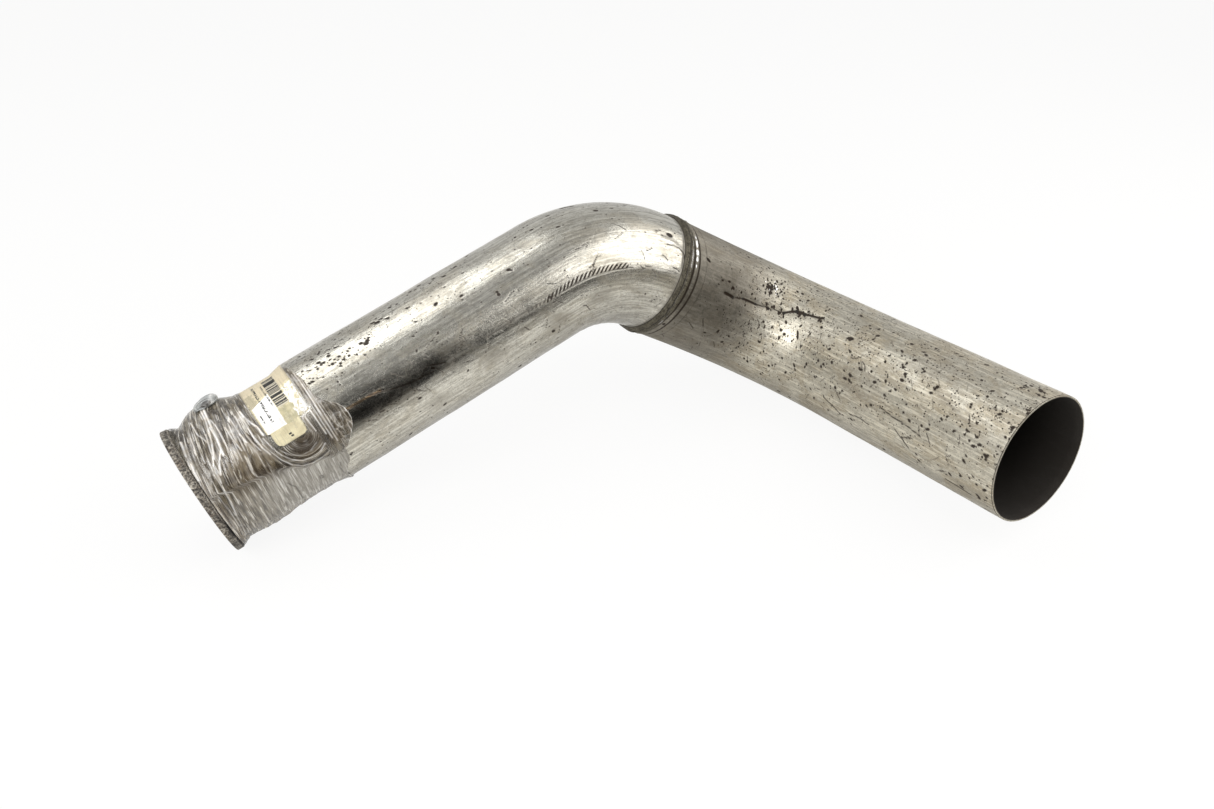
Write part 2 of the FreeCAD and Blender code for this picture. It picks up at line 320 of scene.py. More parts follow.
class Value:
    """What a shader node gives out. Arithmetic with values adds nodes to their tree."""

    def __init__(self, nodes, socket):
        self.nodes = nodes
        self.socket = socket

    def math(self, operation, other=0.0):
        return self.nodes.add("Math", {0: self, 1: other}, operation=operation)

    def __add__(self, other):
        return self.math("ADD", other)

    def __sub__(self, other):
        return self.math("SUBTRACT", other)

    def __rsub__(self, other):
        return self.nodes.add("Math", {0: other, 1: self}, operation="SUBTRACT")

    def __mul__(self, other):
        return self.math("MULTIPLY", other)

    def __lt__(self, other):
        return self.math("LESS_THAN", other)

    def __gt__(self, other):
        return self.math("GREATER_THAN", other)

    def __abs__(self):
        return self.math("ABSOLUTE")

    def either(self, other):
        """The larger of two values."""
        return self.math("MAXIMUM", other)

    def clamped(self):
        self.socket.node.use_clamp = True
        return self

    def beside(self, output):
        """Another output of the same node."""
        return Value(self.nodes, self.socket.node.outputs[output])

    def split(self, kind="XYZ"):
        first = self.nodes.add("Separate" + kind, {0: self})
        return first, first.beside(1), first.beside(2)

    def fit(self, low, high, start=0.0, end=1.0, smooth=True):
        """Carries low..high to start..end, clamped."""
        return self.nodes.add(
            "MapRange", {"Value": self, "From Min": low, "From Max": high, "To Min": start, "To Max": end},
            "Result", clamp=True, interpolation_type="SMOOTHSTEP" if smooth else "LINEAR")

    def scaled(self, along, across):
        return self.nodes.add("Mapping", {"Vector": self, "Scale": (along, across, across)})

    def noise(self, along, across, detail=3.0, rough=0.55, warp=0.0):
        """Noise at a place, with its scales along and across the pipe."""
        return self.nodes.add("TexNoise", {"Vector": self.scaled(along, across), "Scale": 1.0,
                                           "Detail": detail, "Roughness": rough, "Distortion": warp}, "Fac")

    def cells(self, along, across):
        """Distance to the nearest of scattered points, and a colour of chance for each point."""
        near = self.nodes.add("TexVoronoi", {"Vector": self.scaled(along, across), "Scale": 1.0}, "Distance")
        return near, near.beside("Color")


class Nodes:
    """A tree of shader nodes. Colours are three numbers."""

    def __init__(self, tree):
        self.tree = tree

    def connect(self, node, inputs):
        """Sets a node's inputs to plain numbers and colours, or links values to them."""
        for key, value in inputs.items():
            socket = node.inputs[key]
            if isinstance(value, Value):
                self.tree.links.new(value.socket, socket)
            else:
                socket.default_value = (*value, 1.0) if socket.type == "RGBA" else value

    def add(self, kind, inputs, output=0, **settings):
        """A new node, given back as the value of one of its outputs."""
        node = self.tree.nodes.new("ShaderNode" + kind)
        for key, value in settings.items():
            setattr(node, key, value)
        self.connect(node, inputs)
        return Value(self, node.outputs[output])

    def mix(self, share, first, second, mode="MIX"):
        return self.add("Mix", {0: share, 6: first, 7: second}, 2, data_type="RGBA", blend_type=mode)

    def layered(self, tone, coats):
        """A colour with coats laid over it, each a share and a colour."""
        for share, colour in coats:
            tone = self.mix(share, tone, colour)
        return tone

    def bumped(self, reliefs):
        """A normal with reliefs one on another, each a height, a strength and a distance."""
        normal = {}
        for height, strength, distance in reliefs:
            inputs = {"Height": height, "Strength": strength, "Distance": distance, **normal}
            normal = {"Normal": self.add("Bump", inputs)}
        return normal["Normal"]

    def ramp(self, value, stops):
        """Grey levels at positions from 0 to 1 of a value."""
        shade = self.add("ValToRGB", {0: value})
        elements = shade.socket.node.color_ramp.elements
        for position, level in stops[1:-1]:
            elements.new(position)
        for element, (position, level) in zip(elements, stops):
            element.position = position
            element.color = (level, level, level, 1)
        return shade


class Shader(Nodes):
    """A material's nodes."""

    def __init__(self, name):
        self.material = bpy.data.materials.new(name)
        self.material.use_nodes = True
        super().__init__(self.material.node_tree)
        self.base = self.tree.nodes["Principled BSDF"]

    def place(self):
        return self.add("Attribute", {}, "Vector", attribute_name="straight")

    def layer(self, name):
        return self.add("Attribute", {}, "Fac", attribute_name=name)

    def finish(self, inputs):
        self.connect(self.base, inputs)
        return self.material


def grey(level, warmth=0.0):
    """A colour of even lightness; warmth lifts red and lowers blue."""
    return (level * (1 + warmth), level, level * (1 - warmth))


STEEL_LAYERS = ("pit", "stroke", "marks", "shine", "dull", "grime", "rust", "speck", "bead", "soot")
BORE_STEP = 8.0
CUT_EDGE = 0.3


def tube_steel(name, light, roughness, speckle, stain, tint):
    """Dull aluminised tube: grain along the tube, speckles, hairlines, stains and pits, with painted shade
    and painted highlights from its layers.
    """
    steel = Shader(name)
    place = steel.place()
    pit, stroke, marks, shine, dull, grime, rust, speck, bead, soot = map(steel.layer, STEEL_LAYERS)
    clouds = place.noise(0.03, 0.05, 4.0, 0.6, 0.6)
    grain = place.noise(0.05, 1.1, 3.0, 0.6)
    fine = place.noise(0.9, 1.6, 3.0, 0.7)
    blotch = place.noise(0.11, 0.16, 5.0, 0.65, 1.2)
    streak = place.noise(0.035, 0.55, 2.0, 0.5, 0.3)
    mottle = place.noise(0.26, 0.46, 3.0, 0.7, 0.3)
    tone = steel.layered(grey(light), [
        (clouds.fit(0.35, 0.65), grey(light * 0.82)),
        (blotch.fit(0.5, 0.72, 0.0, stain), (0.42, 0.375, 0.30)),
        (clouds.fit(0.46, 0.60, 0.0, stain * 0.8), (0.41, 0.352, 0.268)),
        (grain.fit(0.50, 0.66, 0.0, 0.55), grey(0.32, 0.02)),
        (fine.fit(0.50, 0.66, 0.0, 0.65), grey(0.22, 0.02)),
        (streak.fit(0.52, 0.59, 0.0, 0.5), grey(0.33, 0.02)),
        (streak.fit(0.45, 0.38, 0.0, 0.45), grey(0.80)),
        (mottle.fit(0.54, 0.64, 0.0, 0.38), grey(0.20, 0.05)),
        (mottle.fit(0.46, 0.38, 0.0, 0.25), grey(0.74))])
    tone = steel.mix(1.0, tone, tint, "MULTIPLY")

    distance, chances = place.cells(0.46, 0.56)
    chance, spread, _ = chances.split("Color")
    crowd = place.noise(0.05, 0.08, 2.0, 0.5).fit(0.36, 0.64, 0.15, 1.0)
    dots = (chance < speck * crowd) * (distance < spread.fit(0.0, 1.0, 0.14, speckle, False))
    lines = place.noise(0.045, 0.10, 2.0, 0.5, 1.4)
    kept = place.noise(0.09, 0.13, 1.0).fit(0.55, 0.62)
    hair = abs(lines - 0.5).fit(0.0, 0.006, 1.0, 0.0) * kept
    dark = (dots * 0.95).either(hair * 0.7).either(pit.fit(0.15, 0.6))
    dark = dark.either(stroke.fit(0.12, 0.65, 0.0, 0.9)).clamped()
    # slanted lines that the bending tool left, where the marks layer is painted
    along, level, height = place.split()
    slant = along * 0.27 + height.math("ARCTAN2", level) * INLET_RADIUS * 0.25
    slant = slant + place.noise(0.12, 0.12, 1.0) * 0.5
    line = abs(slant.math("FRACT") - 0.5).fit(0.20, 0.30, 1.0, 0.0)
    dark = dark.either(line * marks.fit(0.2, 0.7)).clamped()
    tone = steel.layered(tone, [
        (dull * 0.75, (0.28, 0.256, 0.218)),
        # real dirt and heat stain, and painted shade on the dark reflected band and along lower edges
        (grime * blotch.fit(0.30, 0.62, 1.0, 0.75), (0.055, 0.049, 0.040)),
        (rust * 0.9, (0.62, 0.40, 0.20)),
        # painted highlights: on the lumps of the weld's second row, and as glints among pits
        (bead.fit(0.42, 0.60), grey(0.90)),
        (dark, (0.026, 0.018, 0.012)),
        (soot, (0.014, 0.011, 0.008))])

    # marks within the dark layer of dirt and painted shade stay metallic, because rough ones would look
    # lighter than it
    pitted = dark * grime.fit(0.2, 0.8, 1.0, 0.1)
    rough = clouds.fit(0.3, 0.7, roughness - 0.05, roughness + 0.09) + fine.fit(0.3, 0.8, -0.05, 0.10)
    rough = rough + pitted * 0.45 + soot * 0.5 + dull * 0.3 - bead * 0.20 - shine * 0.12
    return steel.finish({
        "Base Color": tone,
        "Metallic": pitted.fit(0.0, 1.0, 1.0, 0.15, False) * soot.fit(0.0, 1.0, 1.0, 0.0, False),
        "Roughness": rough.clamped(),
        "Normal": steel.bumped([
            (grain, 0.18, 0.0004), (fine, 0.30, 0.0003), (1.0 - pitted, 0.3, 0.0003)])})


def pipe_turns(fine, coarse):
    """Turns round the pipe: fine on the side that the camera sees, coarse behind."""
    seen_from = -60
    seen_to = 150
    seen = np.arange(seen_from, seen_to, fine)
    hidden = np.linspace(seen_to, seen_from + 360, int((360 + seen_from - seen_to) / coarse) + 1)
    return np.concatenate([seen, hidden[:-1]])


def close_tube(skin):
    """The outer skin, both cut ends and the bore as one closed patch."""
    first = skin.stations[0]
    last = skin.stations[-1]
    outer = len(skin.stations)
    inner = even(last, first, BORE_STEP)
    bore = np.interp(inner, skin.stations, np.median(skin.radii, 1)) - WALL
    bore = np.repeat(bore[:, None], len(skin.turns), 1)
    stations = np.concatenate([skin.stations, [last, last], inner, [first, first]])
    stations[0] += CUT_EDGE
    stations[outer - 1] -= CUT_EDGE
    radii = np.concatenate([
        skin.radii, skin.radii[-1:] - CUT_EDGE, bore[:1] + CUT_EDGE, bore, bore[-1:] + CUT_EDGE,
        skin.radii[:1] - CUT_EDGE])
    whole = Skin(stations, skin.turns, radii)
    for name, layer in skin.layers.items():
        whole.layer(name)[:outer] = layer
    soot = whole.layer("soot")
    soot[outer + 1] = 0.6
    soot[outer + 2:-2] = 1.0
    return whole.patch()


def scatter_pits(skin, count, density, seed):
    """Rust pits at random places, kept where density(station, turn) allows."""
    random = np.random.default_rng(seed)
    for _ in range(count):
        station = random.uniform(skin.stations[0], skin.stations[-1])
        turn = random.uniform(-180, 180)
        chance = random.random()
        size = 0.5 + random.random() ** 2.5
        stretch = random.uniform(1, 2.2)
        lean = random.uniform(-40, 40)
        if chance > density(station, turn):
            continue
        skin.spot("pit", station, turn, size, 0.12, random.uniform(0.75, 1.0), stretch, lean)
        if random.random() < 0.35:
            skin.spot("pit", station + random.uniform(-3, 3), turn + random.uniform(-3, 3),
                      size * 0.7, 0.1, random.uniform(0.5, 1.0))


def scatter_scratches(skin, count, stations, turns, seed):
    """Short dark hairlines that run mostly along the tube."""
    random = np.random.default_rng(seed)
    for _ in range(count):
        station = random.uniform(*stations)
        turn = random.uniform(*turns)
        length = random.uniform(2, 9)
        lean = random.uniform(-9, 9)
        middle = (station + length / 2, turn + lean * 0.35 + random.uniform(-1.5, 1.5))
        skin.stroke("stroke", [(station, turn), middle, (station + length, turn + lean)],
                    0.52, 0.0, random.uniform(0.25, 0.85))


def undulate(skin, waves, share):
    """A slow unevenness of the surface, which makes its reflections waver. Each wave is a
    height, a cell and a seed."""
    wavy = Skin(skin.stations, skin.turns, skin.radii)
    for height, cell, seed in waves:
        wavy.radii += height * (smooth_noise(wavy.straight() / cell, seed) - 0.5) * 2
    skin.radii += (wavy.radii - skin.radii) * share


INLET_PITS = [
    # station, turn, size
    (121, 0, 1.1), (123, 8, 1.4), (126, 11, 1.2), (127, -3, 1.0), (131, 17, 0.9), (132, 7, 1.3),
    (136, 21, 0.9), (138, 14, 1.0), (157, 14, 1.3), (160, 17, 1.6), (162, 15, 1.4), (164, 13, 1.0),
    (173, -1, 1.2), (177, 2, 1.7), (181, 0, 1.1), (185, 4, 1.3), (192, -9, 1.4),
    (198, -8, 1.1), (213, -17, 1.3), (217, -14, 1.0), (222, -19, 1.6), (229, -10, 1.1),
    (234, -15, 1.4), (241, -8, 1.5), (283, 27, 1.5), (285, 29, 0.8), (319, 0, 1.2),
    (333, -10, 1.1), (359, 5, 1.4), (404, 33, 2.0), (299, 67, 1.0), (265, 39, 1.1),
    (265, 42, 1.3), (346, -19, 2.2), (350, -17, 1.6), (366, -20, 1.0),
]
INLET_STROKES = [
    # layer, places, half width, depth, strength
    ("marks", [(296, 68.2), (309, 66.6), (325, 66.2), (345, 66.6), (366, 67.2)], 2.6, 0.0, 1.0),
    ("marks", [(278, 68), (296, 68.2)], 1.8, 0.0, 0.6),
    ("stroke", [(240, 68), (288, 67), (311, 69), (347, 70), (372, 69)], 0.7, 0.15, 0.6),
    ("stroke", [(374, 78), (378, 73), (382, 70)], 0.6, 0.1, 0.7),
    ("shine", [(255, 13), (256, 18), (256, 23)], 0.6, 0.05, 1.0),
    ("rust", [(119, 57.5), (135, 58), (149, 59)], 0.8, -0.1, 1.0),
    ("grime", [(119, 60.5), (135, 61), (149, 62)], 1.6, 0.0, 0.75),
    ("stroke", [(138, 57), (156, 63), (171, 67), (191, 69)], 0.8, 0.1, 0.75),
    ("stroke", [(181, 67), (189, 62), (195, 65), (202, 68)], 0.7, 0.1, 0.8),
    ("stroke", [(191, 51), (201, 46), (210, 43)], 0.7, 0.08, 0.7),
    ("stroke", [(189, 55), (193, 59)], 0.5, 0.06, 0.6),
    # painted shade with some real dirt: the dark band that the front of the tube reflects, and its upper
    # edge
    ("grime", [(108, 66), (150, 69), (173, 67), (200, 64)], 7.5, 0.0, 0.96),
    ("grime", [(112, 52), (134, 52), (160, 55), (194, 60), (220, 62)], 5.0, 0.0, 0.52),
    ("grime", [(196, 68), (230, 68), (262, 69), (300, 73), (340, 74)], 3.6, 0.0, 0.40),
    ("grime", [(206, 66), (209, 72), (212, 66), (216, 58)], 1.2, 0.0, 0.6),
    ("grime", [(214, 76), (260, 80), (300, 80)], 5.0, 0.0, 0.15),
    # painted shade darkening the lower side
    ("grime", [(262, 108), (300, 112), (345, 112), (400, 108)], 17.0, 0.0, 0.30),
    ("grime", [(150, 112), (262, 112)], 14.0, 0.0, 0.10),
    ("stroke", [(398, 36), (404, 37), (410, 40), (416, 44)], 3.0, 0.0, 0.36),
    ("stroke", [(415.8, 28), (415.5, 38), (415, 48), (416, 62)], 1.3, 0.0, 0.48),
    ("stroke", [(401, 44), (407, 43), (412, 44), (416, 48), (418, 55)], 0.7, 0.1, 0.75),
]


def inlet_density(station, turn):
    """How crowded with pits the inlet tube is: most along its top near the film."""
    top = math.exp(-((turn + 7) / 26) ** 2) * (1.0 if station < 270 else 0.35)
    front = 0.30 if 25 < turn < 135 else 0.12
    return min(1.0, top + front * (1.0 if station < 300 else 0.5))


def make_inlet_tube(material):
    stations = np.concatenate([
        even(STOP_LIP, FILM_END, 3.0)[:-1], even(FILM_END, WELD_STATION, 1.02),
        even(WELD_STATION + 4, WELD_STATION + LAP, 5.0)])
    radii = np.interp(stations, [NECK_END, SWAGE_END], [NECK_RADIUS, INLET_RADIUS])
    skin = Skin(stations, pipe_turns(1.22, 3.2), radii)
    along = skin.along
    about = skin.about
    for name in STEEL_LAYERS:
        skin.layer(name)
    past_swage = ramp_up(along, SWAGE_END, 8) * ramp_down(along, WELD_STATION - 3, 8)
    undulate(skin, [(0.22, 34.0, 3), (0.10, 11.0, 4)], past_swage)

    # the tube's own seam: a low ridge that catches the light along its upper side
    seam_reach = 6.0
    seam_height = 0.32
    seam_gap = np.radians(about - np.interp(along, [130, 301, 414], [72.5, 70.4, 69.8])) * INLET_RADIUS
    fade = ramp_up(along, 125, 25) * ramp_down(along, 417, 12)
    skin.radii += seam_height * np.clip(1 - np.abs(seam_gap) / seam_reach, 0, 1) * fade

    # fine bending waves on the inside of the bend
    bend = (along > FIRST_STRAIGHT) & (along < FIRST_STRAIGHT + FIRST_ARC)
    waves = np.sin(along * 2 * math.pi / 13.0) * bend * 0.16
    skin.radii += waves * hill(np.radians(skin.turns - FIRST_BEND[1]) * INLET_RADIUS, 0, 32)

    crowd = np.interp(along, [100, 240, 300, 420], [0.8, 0.5, 0.16, 0.07])
    skin.paint("speck", crowd * hill(about, -4, 26) + 0.05)
    for station, turn, size in INLET_PITS:
        skin.spot("pit", station, turn, size, 0.25, 1.0, 1.35, 15)
    scatter_pits(skin, 900, inlet_density, 11)
    scatter_scratches(skin, 90, (115, 300), (45, 80), 12)
    scatter_scratches(skin, 42, (280, 415), (25, 115), 13)
    scatter_scratches(skin, 40, (115, 400), (-160, -60), 14)
    near_film = np.random.default_rng(15)
    for _ in range(60):
        skin.spot("pit", near_film.uniform(108, 152), near_film.normal(7, 15), near_film.uniform(0.5, 0.95),
                  0.15, near_film.uniform(0.8, 1.0), near_film.uniform(1, 1.6), near_film.uniform(-50, 50))
    for name, places, width, depth, strength in INLET_STROKES:
        skin.stroke(name, places, width, depth, strength)
    # painted shade along the lower edge
    skin.paint("grime", np.interp(np.abs(about - 136), [0, 14, 32], [0.52, 0.38, 0.0]))
    for station, turn in ((342, 91), (298, 93), (184, 98), (239, 89)):
        skin.spot("dull", station, turn, 7, 0.05, 0.6, 1.8, 10)
    skin.spot("pit", 404.5, 32.5, 1.7, 0.2, 1.0, 1.3, 30)
    skin.ring("dull", WELD_STATION - 6, 2.2, 0.7)
    return build_object("inlet_tube_skin", [close_tube(skin)], material)


OUTLET_CREASE = [(467, 67), (480, 68), (497, 65), (520, 65), (542, 63), (565, 61), (580, 54), (594, 53),
                 (619, 50)]
# Half width and strength of the pitted line along each stretch of the crease
CREASE_PITS = [(1.3, 1.0), (0.8, 0.62), (1.0, 0.85), (0.8, 0.66), (0.8, 0.6), (1.2, 0.9), (1.5, 1.0),
               (1.2, 0.9)]
# Dark wavy grooves round the tube: distance past the weld, half width, depth, strength
WELD_GROOVES = [(3.8, 0.9, 0.25, 1.0), (9.6, 1.0, 0.2, 0.9), (17.5, 0.9, 0.15, 0.4)]
OUTLET_STROKES = [
    # layer, places, half width, depth, strength
    ("stroke", [(723, 99), (738, 102), (753, 103), (768, 106)], 0.6, 0.08, 0.85),
    ("stroke", [(743, 112), (751, 118), (758, 124), (750, 116), (759, 113)], 0.6, 0.08, 0.8),
    ("stroke", [(663, 119), (673, 123), (683, 129)], 0.7, 0.08, 0.85),
    ("stroke", [(693, 122), (705, 120), (715, 122)], 0.7, 0.08, 0.8),
    ("stroke", [(793, 137), (805, 138), (817, 140)], 0.8, 0.08, 0.85),
    ("shine", [(782, 68), (807, 74), (837, 80)], 3.5, 0.0, 0.8),
    ("dull", [(763, 64), (792, 74), (837, 86)], 2.0, 0.0, 0.5),
]


def outlet_density(station, turn):
    """How crowded with pits the outlet tube is: bare by the weld, crowded by the open end."""
    seen = math.exp(-((turn - 66) / 55) ** 2)
    along = min(1.0, max(0.05, (station - 470) / 160))
    patch = math.exp(-((station - 560) / 45) ** 2 - ((turn - 76) / 22) ** 2)
    return min(1.0, 0.12 + 0.55 * seen * along + 0.9 * patch)


def make_outlet_tube(material):
    stations = np.concatenate([even(WELD_STATION, WELD_STATION + 14, 0.6)[:-1],
                               even(WELD_STATION + 14, OPEN_END, 1.05)])
    skin = Skin(stations, pipe_turns(1.22, 4.6), np.full(len(stations), OUTLET_RADIUS))
    along = skin.along
    about = skin.about
    past_weld = along - WELD_STATION
    for name in STEEL_LAYERS:
        skin.layer(name)
    undulate(skin, [(0.25, 38.0, 21), (0.10, 12.0, 22)],
             ramp_up(past_weld, 6, 10) * ramp_down(along, OPEN_END, 6))
    crowd = np.interp(along, [423, 470, 520, 600, 838], [0.0, 0.10, 0.58, 0.60, 0.72])
    dense = hill(along, 548, 42) * hill(about, 78, 20)
    skin.paint("speck", np.clip(crowd * hill(about, 56, 48) + dense + 0.03, 0, 1))

    # the weld's second row of beads, which lies on the tube's end, with a painted highlight on its lumps up
    # the side that the camera sees and low down
    x, y, z = skin.straight()
    sway = smooth_noise((y / 24, z / 24, 3.0), 36) - 0.5
    row = hill(past_weld - 6.4, 1.6 * sway, 1.9)
    lumps = smooth_noise((x / 1.7, y / 1.9, z / 1.9), 37)
    wear_and_highlight = 0.10 + hill(about, 42, 21) + 0.8 * hill(about, 114, 8)
    skin.radii += row * (0.35 + 0.9 * lumps)
    skin.paint("bead", 1.2 * row * lumps * np.clip(wear_and_highlight, 0, 1))

    # the dent and its crease on the outside of the second bend
    skin.stroke("crease", OUTLET_CREASE, 5.0, 0.75)
    for number, (width, strength) in enumerate(CREASE_PITS):
        skin.stroke("pit", OUTLET_CREASE[number:number + 2], width, 0.35, strength)
    skin.stroke("dull", OUTLET_CREASE, 4.0, 0.0, 0.5)
    random = np.random.default_rng(31)
    for station, turn in OUTLET_CREASE[4:]:
        for _ in range(5):
            skin.spot("pit", station + random.uniform(-7, 7), turn + random.uniform(-4, 4),
                      random.uniform(0.8, 1.6), 0.2, 0.95, 1.5, 20)
    # the spotted cluster above the crease, with painted glints among its pits
    for _ in range(58):
        skin.spot("pit", random.normal(536, 9.5), random.normal(41, 5), random.uniform(0.6, 1.4),
                  0.2, 0.95, random.uniform(1, 1.8), random.uniform(-60, 60))
    for _ in range(14):
        skin.spot("bead", random.normal(536, 8), random.normal(41, 4), random.uniform(0.7, 1.2))
    skin.spot("pit", 500, 14, 1.5, 0.2, 0.9)
    scatter_pits(skin, 3500, outlet_density, 32)
    scatter_scratches(skin, 150, (592, 836), (14, 139), 33)
    scatter_scratches(skin, 50, (440, 590), (84, 144), 34)
    scatter_scratches(skin, 60, (440, 836), (-170, -60), 35)
    for _ in range(26):
        skin.spot("pit", random.uniform(810, 834), random.uniform(8, 26), random.uniform(0.6, 1.3),
                  0.15, 0.95, random.uniform(1, 2), random.uniform(-40, 40))
    for name, places, width, depth, strength in OUTLET_STROKES:
        skin.stroke(name, places, width, depth, strength)
    for station, turn, size in ((512, 24, 16), (490, 49, 12), (698, 89, 16), (628, 64, 12), (753, 44, 14)):
        skin.spot("dull", station, turn, size, 0.0, 0.38, 1.6, 10)
    for offset, width, depth, strength in WELD_GROOVES:
        groove = [(WELD_STATION + offset + 0.7 * math.sin(turn / 17.0 + 3.9), turn)
                  for turn in range(-180, 181, 12)]
        skin.stroke("stroke", groove, width, depth, strength)

    # a heat-darkened stretch past the weld, bare in the dent, and painted shade along the lower edge all
    # along
    start = hill(past_weld, 0, 112, 6)
    dented = 1 - 0.95 * hill(along, 547, 26) * hill(about, 78, 14)
    lit = 1 - (0.62 * hill(about, 22, 26) + 0.35 * ramp_up(about, 92, 30))
    skin.paint("grime", 0.80 * start * lit * dented * (1 - 0.25 * skin.layer("bead")))
    skin.paint("grime", np.interp(np.abs(about - 154), [0, 12, 28], [0.36, 0.26, 0.0]))
    skin.paint("dull", 0.7 * start * dented)
    skin.ring("stroke", OPEN_END, 0.9, 0.8)
    return build_object("outlet_tube_skin", [close_tube(skin)], material)


def flange_finish():
    """Corroded steel: light grains in a dark crust, black pores, a painted shadow in the gap behind the rim,
    and smooth darker grey at the rim's lower end.
    """
    rust = Shader("flange_steel")
    place = rust.place()
    coarse = place.noise(0.22, 0.22, 4.0, 0.7, 0.6)
    fine = place.noise(0.75, 0.75, 3.0, 0.7)
    grains, _ = place.cells(0.85, 0.85)
    tone = rust.layered((0.46, 0.425, 0.36), [
        (coarse.fit(0.38, 0.62), (0.27, 0.235, 0.19)),
        (fine.fit(0.46, 0.60, 0.0, 0.9), (0.05, 0.039, 0.030)),
        (grains.fit(0.20, 0.36, 0.6, 0.0), (0.62, 0.60, 0.54)),
        (place.noise(0.09, 0.09).fit(0.56, 0.70, 0.0, 0.35), (0.14, 0.085, 0.045)),
        (rust.layer("dull") * 0.85, (0.115, 0.108, 0.095)),
        # black pores, and the painted shadow in the gap behind the rim
        (rust.layer("pit"), (0.008, 0.006, 0.005)),
        (rust.layer("soot"), (0.014, 0.011, 0.008))])
    return rust.finish({
        "Base Color": tone,
        "Metallic": fine.fit(0.35, 0.6, 0.5, 0.1),
        "Roughness": fine.fit(0.35, 0.7, 0.45, 0.85),
        "Normal": rust.bumped([(coarse, 0.4, 0.0008), (fine, 0.7, 0.0006)])})


def ring_skin(profile, turns, step):
    """A closed ring: a profile of (station, radius) corners turned about the inlet's axis."""
    stations = []
    radii = []
    for (s_a, r_a), (s_b, r_b) in zip(profile, profile[1:] + profile[:1]):
        count = max(1, int(round(math.hypot(s_b - s_a, r_b - r_a) / step)))
        share = np.arange(count) / count
        stations.extend(s_a + (s_b - s_a) * share)
        radii.extend(r_a + (r_b - r_a) * share)
    return Skin(stations, turns, radii)


def make_flange(material):
    bore = NECK_RADIUS - WALL
    profile = [
        (0, bore + BORE_CHAMFER), (0, RIM_RADIUS - 0.4), (0.4, RIM_RADIUS),
        (RIM_WIDTH - 0.2, RIM_RADIUS), (RIM_WIDTH, RIM_RADIUS - 0.2),
        (FLANGE_BACK, RIM_RADIUS - BEVEL_DROP), (FLANGE_BACK, SOCKET_RADIUS),
        (STOP_LIP, SOCKET_RADIUS), (STOP_LIP, bore), (BORE_CHAMFER, bore)]
    skin = ring_skin(profile, np.arange(0, 360, 0.62), 0.6)
    about = skin.about
    outside = (skin.radii[:, :1] > SOCKET_RADIUS + 0.5) & (skin.along >= 0.1)
    rough = smooth_noise(skin.straight() / 1.3, 41)
    wear_and_highlight = 1 - 0.75 * ramp_up(about, 104, 8) * ramp_down(about, 175, 8)
    skin.radii -= outside * (0.45 * rough ** 2) * wear_and_highlight
    random = np.random.default_rng(42)
    for row, spacing, size in ((1.0, 2.9, 0.75), (2.7, 3.3, 0.9), (4.3, 1.9, 1.15)):
        turn = -180.0
        while turn < 180:
            turn += random.uniform(0.4, 1.6) * math.degrees(spacing / RIM_RADIUS)
            if random.random() < (0.15 if 104 < turn < 170 else 1.0):
                skin.spot("pit", row + random.uniform(-0.7, 0.7), turn, size * random.uniform(0.7, 1.35),
                          0.3, random.uniform(0.7, 1.0), random.uniform(1, 1.6), random.uniform(-50, 90))
    # the lower end is smooth, with grooves round it
    for row in (1.0, 2.3, 3.7):
        skin.stroke("pit", [(row, turn) for turn in range(106, 172, 6)], 0.28, 0.12, 0.6)
    skin.layer("soot")[skin.radii[:, 0] < bore + 0.1] = 1.0
    # painted shadow in the gap between the rim and the film: the bevel behind the rim painted near black,
    # heavier on the lower side towards the camera and uneven
    gap = (skin.stations > RIM_WIDTH - 0.15) & (skin.radii[:, 0] > SOCKET_RADIUS)
    uneven = smooth_noise((skin.turns / 2.4, 0.0, 0.0), 43)
    bare = (0.25 + 0.75 * ramp_up(about, 76, 22)) * (0.3 + 1.3 * uneven)
    skin.layer("pit")[gap] = np.clip(bare, 0, 1)
    # the rim's lower end is painted a darker grey
    skin.paint("dull", 1 - wear_and_highlight)
    return build_object("flange_ring", [skin.patch()], material)


def weld_finish(name, bright, brown):
    """Weld metal: a painted highlight along the line of beads, brown body, dark toes and grooves."""
    weld = Shader(name)
    place = weld.place()
    toe, ripple, shine = map(weld.layer, ("toe", "ripple", "shine"))
    coarse = place.noise(0.16, 0.16, 4.0, 0.6)
    fine = place.noise(1.1, 1.1, 3.0, 0.7)
    pits = place.noise(0.42, 0.42, 3.0, 0.65)
    tone = weld.layered((0.165, 0.150, 0.112), [
        (coarse.fit(0.38, 0.62), (0.100, 0.090, 0.066)),
        (pits.fit(0.53, 0.60, 0.0, 0.8), (0.040, 0.033, 0.024)),
        (ripple.fit(0.1, 0.5, 0.35, 0.0), (0.06, 0.053, 0.038)),
        (shine.fit(0.30, 0.55), bright),
        (fine.fit(0.48, 0.66, 0.0, brown), (0.08, 0.071, 0.052)),
        (toe * 0.93, (0.022, 0.017, 0.012))])
    return weld.finish({
        "Base Color": tone,
        "Metallic": toe.fit(0.0, 1.0, 0.9, 0.1),
        "Roughness": fine.fit(0.3, 0.75, 0.38, 0.65) + shine.fit(0.3, 0.55, 0.0, -0.16),
        "Normal": weld.bumped([(fine, 0.5, 0.0004), (pits, 0.6, 0.0008)])})


